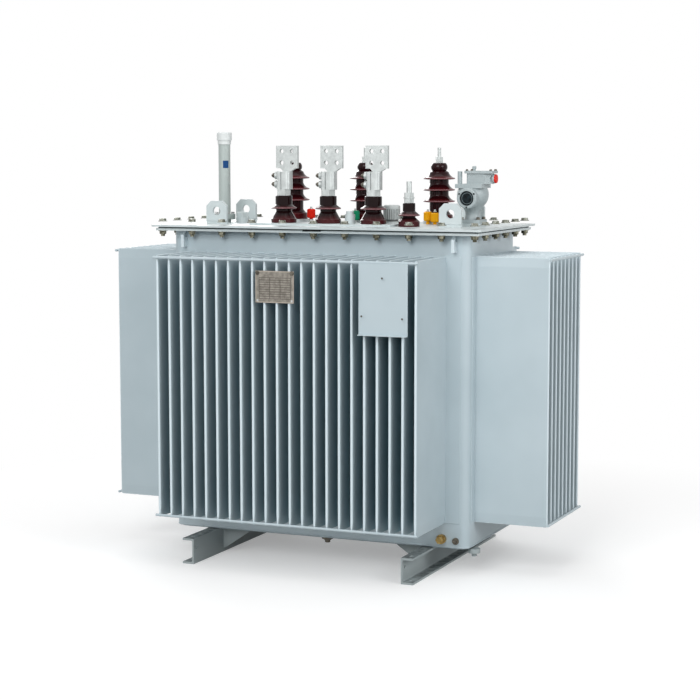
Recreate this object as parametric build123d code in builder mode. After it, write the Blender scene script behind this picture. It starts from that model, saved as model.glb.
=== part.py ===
from build123d import *
import os

os.makedirs("parts", exist_ok=True)

# Sealed oil transformer with corrugated cooling fins
# The long side lies along X, the low-voltage side faces -Y, up is +Z and the floor is Z = 0

# Tank
tank_length = 1240
tank_width = 540
tank_height = 1178
tank_corner_radius = 30
floor_plate_thickness = 8
floor_plate_inset = 12

# Skids, rolled channels with their flanges outward
skid_height = 100
skid_flange_width = 48
skid_web_thickness = 6
skid_flange_thickness = 8
skid_root_radius = 6
skid_end_inset = 188
skid_overrun = 210
skid_hole_diameter = 18
skid_hole_end_distance = 42
skid_hole_web_distance = 27
web_hole_diameter = 11
web_hole_end_distance = 26
web_hole_height = 62

# Gussets between the skid webs and the tank floor
gusset_reach = 116
gusset_drop = 88
gusset_thickness = 8
gusset_nose = 10
gusset_wall_distance = 50

# Clearance left between two pieces that only touch
weld_gap = 0.3

# Corrugated fin walls
fin_pitch = 50
front_fin_count = 22
side_fin_count = 9
front_fin_depth = 310
side_fin_depth = 290
fin_thickness = 10
fin_seam_thickness = 4
fin_pinch_height = 36
fin_floor_gap = 92
fin_top_gap = 82
wall_sheet_thickness = 3
wall_sheet_margin = 4
fin_bar_radius = 5
fin_bar_inset = 7
fin_bar_overhang = 12

# Flange, gasket and cover
flange_overhang = 50
flange_thickness = 9
gasket_thickness = 6
gasket_setback = 7
cover_thickness = 8
cover_overhang = 15
cover_corner_radius = 10

# Hooks under the flange at the tank corners
hook_reach = 30
hook_height = 64
hook_thickness = 12
hook_corner_distance = 56
hook_notch_width = 14
hook_notch_depth = 26
hook_finger_slope = 7
hook_round = 16

# Lifting lugs on the cover
lug_width = 90
lug_height = 90
lug_thickness = 12
lug_chamfer = 20
lug_hole_diameter = 34
lug_hole_height = 50
lug_end_distance = 125
lug_side_distance = 137

# Outlines shared by all the porcelains
shed_lip = 3
glaze_bevel = 4
head_bevel = 2

# Low-voltage row
lv_row_distance = 135
lv_pitch = 190
lv_centre_x = -10
lv_plate_thickness = 8
lv_plate_width = 150
lv_plate_left_margin = 115
lv_plate_right_margin = 100
lv_foot_radius = 50
lv_foot_height = 15
lv_neck_radius = 31
lv_neck_height = 46
lv_neck_length = 6
lv_shed_rise = 13
lv_head_radius = 33
lv_head_height = 106

# Low-voltage connectors
lv_nut_across = 50
lv_nut_height = 24
lv_stud_radius = 19
lv_clamp_height = 70
lv_clamp_depth = 46
lv_clamp_body_reach = 33
lv_clamp_body_round = 15
lv_clamp_cap_reach = 24
lv_clamp_cap_round = 9
lv_clamp_slit = 4
lv_clamp_waist = 12
lv_boss_radius = 15
lv_boss_length = 11
lv_boss_low = 20
lv_boss_high = 54
lv_neck_rise = 12
lv_neck_left_inset = 18
lv_neck_right_inset = 10
lv_palm_width = 92
lv_palm_height = 88
lv_palm_thickness = 14
lv_palm_offset_x = 16
lv_palm_hole_diameter = 17
lv_palm_hole_spacing = 45

# Neutral bushing
neutral_clearance = 6
neutral_foot_radius = 41
neutral_foot_height = 19
neutral_neck_radius = 24
neutral_neck_height = 36
neutral_neck_length = 2
neutral_shed_rise = 15
neutral_head_height = 90
neutral_nut_across = 34
neutral_nut_height = 18
neutral_washer_radius = 22
neutral_washer_height = 3
neutral_stud_radius = 10
neutral_stud_length = 82

# High-voltage row
hv_row_distance = 80
hv_pitch = 317
hv_centre_x = 12
hv_seat_radius = 64
hv_seat_height = 11
hv_foot_radius = 55
hv_foot_height = 27
hv_foot_round = 8
hv_foot_slope = 12
hv_core_radius = 38
hv_shed_radius = 63.5
hv_shed_count = 3
hv_first_shed_height = 78
hv_shed_pitch = 45
hv_shed_drop = 4
hv_shed_rise = 25
hv_shed_sag = 3
hv_neck_radius = 26
hv_neck_rise = 8
hv_knob_radius = 33
hv_knob_height = 28
hv_knob_belly = 12
hv_knob_edge = 3
hv_nut_across = 27
hv_nut_height = 24
hv_stud_radius = 7
hv_stud_length = 60

# Coloured phase markers beside the high-voltage feet
marker_radius = 17
marker_height = 38
marker_round = 7
marker_post_radius = 7
marker_low_lift = 8
marker_mid_lift = 12
marker_high_lift = 16
red_marker_back = 50
red_marker_right = 99
green_marker_back = 82
green_marker_left = 10
yellow_marker_back = 90
yellow_marker_right = 16
yellow_twin_left = 35
yellow_twin_back = 14

# Oil gauge tube
gauge_end_distance = 92
gauge_neck_radius = 26
gauge_neck_height = 12
gauge_flange_radius = 43
gauge_flange_height = 22
gauge_tube_radius = 24
gauge_tube_length = 280
gauge_collar_radius = 27
gauge_collar_height = 16
gauge_cap_radius = 30.5
gauge_cap_height = 33
gauge_cap_round = 5

# Tap changer drum
tap_x = 194
tap_y = 20
tap_base_radius = 40
tap_base_height = 12
tap_neck_radius = 27
tap_neck_height = 9
tap_drum_radius = 31
tap_drum_height = 41
tap_rib_count = 24
tap_rib_depth = 2.5
tap_rib_width = 4
tap_cap_height = 15
tap_cap_round = 8

# Protection relay
relay_end_distance = 83
relay_seat_width = 82
relay_seat_height = 12
relay_base_width = 86
relay_base_height = 14
relay_skirt_radius = 32
relay_neck_radius = 28
relay_neck_height = 44
relay_waist_radius = 34
relay_waist_height = 66
relay_cheek_radius = 55
relay_cheek_height = 95
relay_belly_radius = 61
relay_belly_height = 118
relay_shoulder_radius = 55
relay_shoulder_height = 146
relay_top_plate_width = 108
relay_top_plate_height = 16
relay_ring_radius = 40
relay_ring_height = 108
relay_ring_reach = 74
relay_ring_round = 5
relay_glass_radius = 28
relay_glass_recess = 6
relay_glass_thickness = 6
relay_box_width = 98
relay_box_depth = 62
relay_box_height = 40
relay_box_shift = 33
relay_box_round = 6
relay_box_chamfer = 24
relay_lid_overhang = 7
relay_lid_height = 10
relay_stub_radius = 9
relay_stub_height = 48
relay_stub_left = 44
relay_stub_front = 25
relay_boss_radius = 18
relay_boss_length = 8
relay_plug_radius = 16.5
relay_plug_length = 6

# Small fittings on the cover
pocket_gauge_distance = 80
pocket_radius = 26
pocket_height = 22
pocket_nut_across = 40
pocket_nut_height = 20
socket_lv_distance = 92
socket_radius = 20
socket_height = 36
socket_cap_radius = 15
socket_cap_height = 12

# Plates on the front fins
instrument_plate_end_distance = 215
instrument_plate_width = 190
instrument_plate_height = 262
instrument_plate_thickness = 3
instrument_plate_lip = 14
instrument_plate_drop = 9
name_plate_x = -30
name_plate_width = 156
name_plate_height = 118
name_plate_drop = 47
name_plate_thickness = 3

# Drain, earth stud and bottom plug
drain_end_distance = 103
drain_height = 30
drain_boss_radius = 18
drain_boss_length = 16
drain_cap_across = 27
drain_cap_length = 16
earth_end_distance = 48
earth_height = 25
earth_ring_radius = 13
earth_ring_length = 6
earth_stud_radius = 6
earth_stud_length = 24
plug_x = 20
plug_wall_distance = 55
plug_radius = 23
plug_height = 17
plug_tip_radius = 11
plug_tip_height = 13

# Levels and places worked out from the sizes above
tank_floor = skid_height + floor_plate_thickness
tank_top = tank_floor + tank_height
fin_floor = tank_floor + fin_floor_gap
fin_top = tank_top - fin_top_gap
fin_middle = (fin_floor + fin_top) / 2
flange_top = tank_top + flange_thickness
cover_floor = flange_top + gasket_thickness
cover_top = cover_floor + cover_thickness
side_face = tank_length / 2
front_face = -tank_width / 2
rear_face = tank_width / 2
skid_web = side_face - skid_end_inset
skid_length = tank_width + 2 * skid_overrun
flange_length = tank_length + 2 * flange_overhang
flange_width = tank_width + 2 * flange_overhang
lug_x = side_face - lug_end_distance
lug_y = rear_face - lug_side_distance
lv_row_y = front_face + lv_row_distance
hv_row_y = rear_face - hv_row_distance
lv_places = [lv_centre_x + place * lv_pitch for place in (-1, 0, 1)]
hv_places = [hv_centre_x + place * hv_pitch for place in (-1, 0, 1)]
lv_plate_left = lv_places[0] - lv_plate_left_margin
lv_plate_right = lv_places[-1] + lv_plate_right_margin
neutral_x = lv_plate_right + neutral_clearance + neutral_foot_radius
lv_seat = cover_top + lv_plate_thickness
hv_seat = cover_top + hv_seat_height
gauge_x = gauge_end_distance - side_face
relay_x = side_face - relay_end_distance
fin_nose_face = front_face - front_fin_depth
bar_face = fin_nose_face - 2 * fin_bar_radius - 2 * weld_gap


def wall_plane(side):
    """A vertical plane on one wall of the tank, its normal pointing outward."""
    walls = {
        "front": ((0, front_face, 0), (1, 0, 0), (0, -1, 0)),
        "rear": ((0, rear_face, 0), (-1, 0, 0), (0, 1, 0)),
        "right": ((side_face, 0, 0), (0, 1, 0), (1, 0, 0)),
        "left": ((-side_face, 0, 0), (0, -1, 0), (-1, 0, 0)),
    }
    origin, along, outward = walls[side]
    return Plane(origin=origin, x_dir=along, z_dir=outward)


def front_plane(x, y, height):
    """An upright plane that faces the low-voltage side, with its origin at a chosen place."""
    return Plane(origin=(x, y, height), x_dir=(1, 0, 0), z_dir=(0, -1, 0))


def side_plane(x, y, height):
    """An upright plane that faces the right end, with its origin at a chosen place."""
    return Plane(origin=(x, y, height), x_dir=(0, 1, 0), z_dir=(1, 0, 0))


def upright_axis(x, y):
    """The vertical axis through a place on the cover."""
    return Axis((x, y, 0), (0, 0, 1))


def cooling_fin(wall, depth):
    """One fin of even thickness whose top and bottom are pinched flat for the closing weld."""
    levels = (
        (fin_floor, fin_seam_thickness),
        (fin_floor + fin_pinch_height, fin_thickness),
        (fin_top - fin_pinch_height, fin_thickness),
        (fin_top, fin_seam_thickness),
    )
    with BuildPart() as fin:
        for height, thickness in levels:
            half = thickness / 2
            level = Plane(origin=wall.origin + Vector(0, 0, height), x_dir=wall.x_dir, z_dir=(0, 0, 1))
            with BuildSketch(level):
                with BuildLine():
                    flank = Line((half, -wall_sheet_thickness), (half, half - depth))
                    nose = ThreePointArc(flank @ 1, (0, -depth), (-half, half - depth))
                    back = Line(nose @ 1, (-half, -wall_sheet_thickness))
                    Line(back @ 1, flank @ 0)
                make_face()
        loft(ruled=True)
    return fin.part


def corrugated_wall(side, wall_length, count, depth):
    """A sheet over the flat of one tank wall, with a row of fins folded out of it."""
    wall = wall_plane(side)
    fin = cooling_fin(wall, depth)
    sheet_width = wall_length - 2 * tank_corner_radius - 2 * wall_sheet_margin
    with BuildPart() as bank:
        with BuildSketch(wall):
            with Locations((0, fin_middle)):
                Rectangle(sheet_width, fin_top - fin_floor)
        extrude(amount=wall_sheet_thickness)
        for index in range(count):
            step = (index - (count - 1) / 2) * fin_pitch
            add(fin.moved(Location(wall.x_dir * step)))
    return bank


# Tank shell with rounded vertical corners, standing on its floor plate
with BuildPart() as tank_floor_plate:
    with BuildSketch(Plane.XY.offset(skid_height)):
        RectangleRounded(
            tank_length - 2 * floor_plate_inset,
            tank_width - 2 * floor_plate_inset,
            tank_corner_radius,
        )
    extrude(amount=floor_plate_thickness)
tank_floor_plate.part.label = "tank_floor_plate"

with BuildPart() as tank_body:
    with BuildSketch(Plane.XY.offset(tank_floor)):
        RectangleRounded(tank_length, tank_width, tank_corner_radius)
    extrude(amount=tank_height)
tank_body.part.label = "tank_body"

# Corrugated walls on all four sides
front_fins = corrugated_wall("front", tank_length, front_fin_count, front_fin_depth)
rear_fins = corrugated_wall("rear", tank_length, front_fin_count, front_fin_depth)
right_fins = corrugated_wall("right", tank_width, side_fin_count, side_fin_depth)
left_fins = corrugated_wall("left", tank_width, side_fin_count, side_fin_depth)
front_fins.part.label = "front_fins"
rear_fins.part.label = "rear_fins"
right_fins.part.label = "right_fins"
left_fins.part.label = "left_fins"

# Round bars welded across the fin noses, one high and one low on every bank
banks = (
    ("front", front_fin_count, front_fin_depth),
    ("rear", front_fin_count, front_fin_depth),
    ("right", side_fin_count, side_fin_depth),
    ("left", side_fin_count, side_fin_depth),
)
with BuildPart() as fin_bars:
    for side, count, depth in banks:
        wall = wall_plane(side)
        bar_length = (count - 1) * fin_pitch + 2 * fin_bar_overhang
        reach = depth + fin_bar_radius + weld_gap
        start = wall.origin + wall.z_dir * reach - wall.x_dir * (bar_length / 2)
        for height in (fin_floor + fin_bar_inset, fin_top - fin_bar_inset):
            with BuildSketch(Plane(origin=start + Vector(0, 0, height), z_dir=wall.x_dir)):
                Circle(fin_bar_radius)
            extrude(amount=bar_length)
fin_bars.part.label = "fin_bars"


def skid(side):
    """A channel with its web toward the middle and its flanges outward, drilled near both ends."""
    web = side * skid_web
    inner = side * (skid_web + skid_web_thickness)
    tip = side * (skid_web + skid_flange_width)
    hole_x = side * (skid_web + skid_hole_web_distance)
    hole_y = skid_length / 2 - skid_hole_end_distance
    web_hole_y = skid_length / 2 - web_hole_end_distance
    with BuildPart() as channel:
        with BuildSketch(front_plane(0, 0, 0)) as section:
            with BuildLine():
                Polyline(
                    (web, 0),
                    (tip, 0),
                    (tip, skid_flange_thickness),
                    (inner, skid_flange_thickness),
                    (inner, skid_height - skid_flange_thickness),
                    (tip, skid_height - skid_flange_thickness),
                    (tip, skid_height),
                    (web, skid_height),
                    close=True,
                )
            make_face()
            fillet(section.vertices().group_by(Axis.X)[1], radius=skid_root_radius)
        extrude(amount=skid_length / 2, both=True)
        with Locations((hole_x, -hole_y, skid_height), (hole_x, hole_y, skid_height)):
            Hole(skid_hole_diameter / 2, depth=skid_height)
        with BuildSketch(side_plane(web, 0, 0)):
            with Locations((-web_hole_y, web_hole_height), (web_hole_y, web_hole_height)):
                Circle(web_hole_diameter / 2)
        extrude(amount=skid_web_thickness, both=True, mode=Mode.SUBTRACT)
    return channel


skid_left = skid(-1)
skid_right = skid(1)
skid_left.part.label = "skid_left"
skid_right.part.label = "skid_right"

# Triangular gussets between the skid webs and the tank floor
gusset_y = rear_face - gusset_wall_distance
with BuildPart() as skid_gussets:
    for y in (-gusset_y, gusset_y):
        for side in (-1, 1):
            top = skid_height - weld_gap
            edge = side * (skid_web - weld_gap)
            point = side * (skid_web - gusset_reach)
            with BuildSketch(front_plane(0, y, 0)):
                with BuildLine():
                    Polyline(
                        (edge, top),
                        (point, top),
                        (point, top - gusset_nose),
                        (edge, top - gusset_drop),
                        close=True,
                    )
                make_face()
            extrude(amount=gusset_thickness / 2, both=True)
skid_gussets.part.label = "skid_gussets"

# Flange, gasket and cover, one on the other
with BuildPart() as tank_flange:
    with BuildSketch(Plane.XY.offset(tank_top)):
        Rectangle(flange_length, flange_width)
    extrude(amount=flange_thickness)
tank_flange.part.label = "tank_flange"

with BuildPart() as cover_gasket:
    with BuildSketch(Plane.XY.offset(flange_top)):
        Rectangle(flange_length - 2 * gasket_setback, flange_width - 2 * gasket_setback)
    extrude(amount=gasket_thickness)
cover_gasket.part.label = "cover_gasket"

with BuildPart() as cover_plate:
    with BuildSketch(Plane.XY.offset(cover_floor)):
        RectangleRounded(
            flange_length + 2 * cover_overhang,
            flange_width + 2 * cover_overhang,
            cover_corner_radius,
        )
    extrude(amount=cover_thickness)
    with BuildSketch(Plane.XY.offset(cover_top)):
        with Locations((relay_x, 0)):
            Rectangle(relay_seat_width, relay_seat_width)
    extrude(amount=relay_seat_height)
cover_plate.part.label = "cover_plate"

# Hooks under the flange, each with a finger and a slot behind it
hook_x = side_face - hook_corner_distance
with BuildPart() as tank_hooks:
    top = tank_top - weld_gap
    for face in (-1, 1):
        for side in (-1, 1):
            root = face * (rear_face + weld_gap)
            slot = face * (rear_face + hook_notch_width)
            finger = face * (rear_face + hook_reach - hook_round)
            tip = face * (rear_face + hook_reach)
            with BuildSketch(side_plane(side * hook_x, 0, 0)):
                with BuildLine():
                    Polyline(
                        (finger, top),
                        (slot, top - hook_finger_slope),
                        (slot, top - hook_notch_depth),
                        (root, top - hook_notch_depth),
                        (root, top - hook_height),
                        (tip, top - hook_height),
                        (tip, top - hook_round),
                    )
                    RadiusArc((tip, top - hook_round), (finger, top), face * hook_round)
                make_face()
            extrude(amount=hook_thickness / 2, both=True)
tank_hooks.part.label = "tank_hooks"

# Four lifting lugs on the cover
with BuildPart() as cover_lugs:
    for y in (-lug_y, lug_y):
        for x in (-lug_x, lug_x):
            with BuildSketch(front_plane(x, y, cover_top)) as outline:
                Rectangle(lug_width, lug_height, align=(Align.CENTER, Align.MIN))
                chamfer(outline.vertices().group_by(Axis.Y)[-1], length=lug_chamfer)
                with Locations((0, lug_hole_height)):
                    Circle(lug_hole_diameter / 2, mode=Mode.SUBTRACT)
            extrude(amount=lug_thickness / 2, both=True)
cover_lugs.part.label = "cover_lugs"

# Raised plate under the low-voltage row
with BuildPart() as lv_mount_plate:
    with BuildSketch(Plane.XY.offset(cover_top)):
        with Locations(((lv_plate_left + lv_plate_right) / 2, lv_row_y)):
            Rectangle(lv_plate_right - lv_plate_left, lv_plate_width)
    extrude(amount=lv_plate_thickness)
lv_mount_plate.part.label = "lv_mount_plate"


def one_shed_porcelain(x, seat, foot, neck, shed_rise, head):
    """A porcelain with a conical foot, a thin shed and a round head, turned about its stud."""
    foot_radius, foot_height = foot
    neck_radius, neck_height, neck_length = neck
    head_radius, head_height = head
    shed_height = neck_height + neck_length + 2 * shed_lip
    with BuildPart() as porcelain:
        with BuildSketch(front_plane(x, lv_row_y, seat)):
            with BuildLine():
                foot_side = Polyline(
                    (0, 0),
                    (foot_radius, 0),
                    (foot_radius, foot_height),
                    (foot_radius - glaze_bevel, foot_height + glaze_bevel),
                    (neck_radius, neck_height),
                    (neck_radius, neck_height + neck_length),
                    (foot_radius - shed_lip, shed_height - shed_lip),
                )
                lip = ThreePointArc(
                    foot_side @ 1,
                    (foot_radius, shed_height),
                    (foot_radius - shed_lip, shed_height + shed_lip),
                )
                Polyline(
                    lip @ 1,
                    (head_radius, shed_height + shed_rise),
                    (head_radius, head_height - head_bevel),
                    (head_radius - head_bevel, head_height),
                    (0, head_height),
                    (0, 0),
                )
            make_face()
        revolve(axis=upright_axis(x, lv_row_y))
    return porcelain


lv_terminal_floor = lv_seat + lv_head_height + weld_gap
lv_clamp_floor = lv_terminal_floor + lv_nut_height
lv_clamp_top = lv_clamp_floor + lv_clamp_height
lv_palm_floor = lv_clamp_top + lv_neck_rise


def lv_connector(x):
    """A nut, a split clamp round the stud and an upright palm with four holes, as one casting."""
    palm_x = x + lv_palm_offset_x
    palm_left = -lv_palm_width / 2
    palm_right = lv_palm_width / 2
    body_left = -lv_palm_offset_x
    body_right = lv_clamp_body_reach - lv_palm_offset_x
    with BuildPart() as connector:
        with BuildSketch(Plane.XY.offset(lv_terminal_floor)):
            with Locations((x, lv_row_y)):
                RegularPolygon(lv_nut_across / 2, 6, major_radius=False)
        extrude(amount=lv_nut_height)
        with BuildSketch(Plane.XY.offset(lv_clamp_floor)):
            with Locations((x, lv_row_y)):
                Circle(lv_stud_radius)
        extrude(amount=lv_clamp_height)
        with BuildSketch(Plane.XY.offset(lv_clamp_floor)) as body:
            with Locations((x, lv_row_y)):
                Rectangle(lv_clamp_body_reach, lv_clamp_depth, align=(Align.MIN, Align.CENTER))
            fillet(body.vertices().group_by(Axis.X)[-1], radius=lv_clamp_body_round)
        extrude(amount=lv_clamp_height)
        with BuildSketch(Plane.XY.offset(lv_clamp_floor)) as cap:
            with Locations((x - lv_clamp_slit, lv_row_y)):
                Rectangle(
                    lv_clamp_cap_reach - lv_clamp_slit,
                    lv_clamp_depth,
                    align=(Align.MAX, Align.CENTER),
                )
            fillet(cap.vertices().group_by(Axis.X)[0], radius=lv_clamp_cap_round)
        extrude(amount=lv_clamp_height)
        with BuildSketch(front_plane(x, lv_row_y, lv_clamp_floor)):
            with Locations((-lv_clamp_cap_reach, lv_clamp_height / 2)):
                Rectangle(lv_clamp_waist, lv_clamp_waist, rotation=45)
        extrude(amount=lv_clamp_depth, both=True, mode=Mode.SUBTRACT)
        with BuildSketch(side_plane(x - lv_clamp_cap_reach - lv_boss_length, lv_row_y, lv_clamp_floor)):
            with Locations((0, lv_boss_low), (0, lv_boss_high)):
                Circle(lv_boss_radius)
        extrude(amount=lv_boss_length + lv_clamp_cap_round)
        with BuildSketch(front_plane(palm_x, lv_row_y, lv_palm_floor)):
            Rectangle(lv_palm_width, lv_palm_height, align=(Align.CENTER, Align.MIN))
            with BuildLine():
                Polyline(
                    (body_left, -lv_neck_rise),
                    (body_right, -lv_neck_rise),
                    (palm_right - lv_neck_right_inset, 0),
                    (palm_left + lv_neck_left_inset, 0),
                    close=True,
                )
            make_face()
            with Locations((0, lv_palm_height / 2)):
                with GridLocations(lv_palm_hole_spacing, lv_palm_hole_spacing, 2, 2):
                    Circle(lv_palm_hole_diameter / 2, mode=Mode.SUBTRACT)
        extrude(amount=lv_palm_thickness / 2, both=True)
    return connector


# Low-voltage bushings and their connectors
lv_pieces = []
for letter, x in zip("abc", lv_places):
    porcelain = one_shed_porcelain(
        x,
        lv_seat,
        (lv_foot_radius, lv_foot_height),
        (lv_neck_radius, lv_neck_height, lv_neck_length),
        lv_shed_rise,
        (lv_head_radius, lv_head_height),
    )
    porcelain.part.label = "lv_bushing_" + letter
    connector = lv_connector(x)
    connector.part.label = "lv_terminal_" + letter
    lv_pieces.extend([porcelain, connector])

# Neutral bushing, its nuts and its stud
neutral_bushing = one_shed_porcelain(
    neutral_x,
    cover_top,
    (neutral_foot_radius, neutral_foot_height),
    (neutral_neck_radius, neutral_neck_height, neutral_neck_length),
    neutral_shed_rise,
    (neutral_neck_radius, neutral_head_height),
)
neutral_bushing.part.label = "neutral_bushing"

neutral_stud_floor = cover_top + neutral_head_height + weld_gap
neutral_washer_floor = neutral_stud_floor + neutral_nut_height
with BuildPart() as neutral_stud:
    with BuildSketch(Plane.XY.offset(neutral_stud_floor)):
        with Locations((neutral_x, lv_row_y)):
            Circle(neutral_stud_radius)
    extrude(amount=neutral_stud_length)
    with BuildSketch(Plane.XY.offset(neutral_washer_floor)):
        with Locations((neutral_x, lv_row_y)):
            Circle(neutral_washer_radius)
    extrude(amount=neutral_washer_height)
    for floor in (neutral_stud_floor, neutral_washer_floor + neutral_washer_height):
        with BuildSketch(Plane.XY.offset(floor)):
            with Locations((neutral_x, lv_row_y)):
                RegularPolygon(neutral_nut_across / 2, 6, major_radius=False)
        extrude(amount=neutral_nut_height)
neutral_stud.part.label = "neutral_stud"

# Seats, porcelains and studs of the high-voltage row
with BuildPart() as hv_seats:
    with BuildSketch(Plane.XY.offset(cover_top)):
        with Locations(*[(x, hv_row_y) for x in hv_places]):
            Circle(hv_seat_radius)
    extrude(amount=hv_seat_height)
hv_seats.part.label = "hv_seats"

hv_last_shed = hv_first_shed_height + (hv_shed_count - 1) * hv_shed_pitch
hv_knob_floor = hv_last_shed + hv_shed_rise + hv_neck_rise
hv_head_height = hv_knob_floor + hv_knob_height


def hv_porcelain(x):
    """A porcelain with a rolled foot, drooping sheds and a knob on top, turned about its stud."""
    with BuildPart() as porcelain:
        with BuildSketch(front_plane(x, hv_row_y, hv_seat)):
            with BuildLine():
                foot = Polyline((0, 0), (hv_foot_radius, 0), (hv_foot_radius, hv_foot_height - hv_foot_round))
                roll = RadiusArc(
                    foot @ 1,
                    (hv_foot_radius - hv_foot_round, hv_foot_height),
                    -hv_foot_round,
                )
                slope = Line(roll @ 1, (hv_core_radius, hv_foot_height + hv_foot_slope))
                last = slope @ 1
                for index in range(hv_shed_count):
                    height = hv_first_shed_height + index * hv_shed_pitch
                    under = Polyline(
                        last,
                        (hv_core_radius, height - shed_lip - hv_shed_drop),
                        (hv_shed_radius - shed_lip, height - shed_lip),
                    )
                    lip = ThreePointArc(
                        under @ 1,
                        (hv_shed_radius, height),
                        (hv_shed_radius - shed_lip, height + shed_lip),
                    )
                    top = Vector(hv_core_radius, height + hv_shed_rise)
                    sag = (lip @ 1 + top) * 0.5 - Vector(hv_shed_sag, hv_shed_sag)
                    ThreePointArc(lip @ 1, sag, top)
                    last = top
                knob_edge = (hv_knob_radius - hv_knob_edge, hv_knob_floor)
                Polyline(last, (hv_neck_radius, hv_knob_floor), knob_edge)
                ThreePointArc(
                    knob_edge,
                    (hv_knob_radius, hv_knob_floor + hv_knob_belly),
                    (hv_neck_radius, hv_head_height),
                )
                Polyline((hv_neck_radius, hv_head_height), (0, hv_head_height), (0, 0))
            make_face()
        revolve(axis=upright_axis(x, hv_row_y))
    return porcelain


hv_pieces = []
for letter, x in zip("abc", hv_places):
    porcelain = hv_porcelain(x)
    porcelain.part.label = "hv_bushing_" + letter
    hv_pieces.append(porcelain)

hv_stud_floor = hv_seat + hv_head_height + weld_gap
with BuildPart() as hv_studs:
    with BuildSketch(Plane.XY.offset(hv_stud_floor)):
        with Locations(*[(x, hv_row_y) for x in hv_places]):
            RegularPolygon(hv_nut_across / 2, 6, major_radius=False)
    extrude(amount=hv_nut_height)
    with BuildSketch(Plane.XY.offset(hv_stud_floor)):
        with Locations(*[(x, hv_row_y) for x in hv_places]):
            Circle(hv_stud_radius)
    extrude(amount=hv_stud_length)
hv_studs.part.label = "hv_studs"


def phase_marker(places):
    """Moulded coloured caps, each on a short post that stands on the cover."""
    with BuildPart() as marker:
        for x, y, lift in places:
            with BuildSketch(Plane.XY.offset(cover_top)):
                with Locations((x, y)):
                    Circle(marker_post_radius)
            extrude(amount=lift)
            with BuildSketch(Plane.XY.offset(cover_top + lift)):
                with Locations((x, y)):
                    Circle(marker_radius)
            extrude(amount=marker_height)
            caps = marker.edges().filter_by(GeomType.CIRCLE)
            fillet(caps.filter_by(lambda edge: edge.radius == marker_radius), radius=marker_round)
    return marker


# Phase markers, each placed from the high-voltage bushing that it belongs to
red_place = (hv_places[0] + red_marker_right, hv_row_y - red_marker_back)
green_place = (hv_places[1] - green_marker_left, hv_row_y - green_marker_back)
yellow_place = (hv_places[2] + yellow_marker_right, hv_row_y - yellow_marker_back)
yellow_twin = (yellow_place[0] - yellow_twin_left, yellow_place[1] + yellow_twin_back)
phase_marker_red = phase_marker([(*red_place, marker_high_lift)])
phase_marker_green = phase_marker([(*green_place, marker_mid_lift)])
phase_marker_yellow = phase_marker([(*yellow_place, marker_low_lift), (*yellow_twin, marker_mid_lift)])
phase_marker_red.part.label = "phase_marker_red"
phase_marker_green.part.label = "phase_marker_green"
phase_marker_yellow.part.label = "phase_marker_yellow"


def stack_of_discs(x, y, floor, discs):
    """Round steps of given radius and height, one on the other, from a floor level up."""
    with BuildPart() as stack:
        for radius, height in discs:
            with BuildSketch(Plane.XY.offset(floor)):
                with Locations((x, y)):
                    Circle(radius)
            extrude(amount=height)
            floor += height
    return stack


# Oil gauge tube and its cap
gauge_tube = stack_of_discs(
    gauge_x,
    0,
    cover_top,
    (
        (gauge_neck_radius, gauge_neck_height),
        (gauge_flange_radius, gauge_flange_height),
        (gauge_tube_radius, gauge_tube_length),
    ),
)
gauge_tube.part.label = "gauge_tube"

gauge_tube_top = cover_top + gauge_neck_height + gauge_flange_height + gauge_tube_length
with BuildPart() as gauge_cap:
    cap_floor = gauge_tube_top + weld_gap
    with BuildSketch(Plane.XY.offset(cap_floor)):
        with Locations((gauge_x, 0)):
            Circle(gauge_collar_radius)
    extrude(amount=gauge_collar_height)
    with BuildSketch(Plane.XY.offset(cap_floor + gauge_collar_height)):
        with Locations((gauge_x, 0)):
            Circle(gauge_cap_radius)
    extrude(amount=gauge_cap_height)
    fillet(gauge_cap.edges().group_by(Axis.Z)[-1], radius=gauge_cap_round)
gauge_cap.part.label = "gauge_cap"

# Tap changer with a ribbed drum
tap_neck_floor = cover_top + tap_base_height
tap_drum_floor = tap_neck_floor + tap_neck_height
tap_cap_floor = tap_drum_floor + tap_drum_height
with BuildPart() as tap_changer:
    with BuildSketch(Plane.XY.offset(cover_top)):
        with Locations((tap_x, tap_y)):
            Circle(tap_base_radius)
    extrude(amount=tap_base_height)
    with BuildSketch(Plane.XY.offset(tap_neck_floor)):
        with Locations((tap_x, tap_y)):
            Circle(tap_neck_radius)
    extrude(amount=tap_neck_height)
    with BuildSketch(Plane.XY.offset(tap_drum_floor)):
        with Locations((tap_x, tap_y)):
            Circle(tap_drum_radius)
            with PolarLocations(tap_drum_radius, tap_rib_count):
                Rectangle(2 * tap_rib_depth, tap_rib_width)
    extrude(amount=tap_drum_height)
    with BuildSketch(Plane.XY.offset(tap_cap_floor)):
        with Locations((tap_x, tap_y)):
            Circle(tap_drum_radius + tap_rib_depth)
    extrude(amount=tap_cap_height)
    fillet(tap_changer.edges().group_by(Axis.Z)[-1], radius=tap_cap_round)
tap_changer.part.label = "tap_changer"

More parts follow.
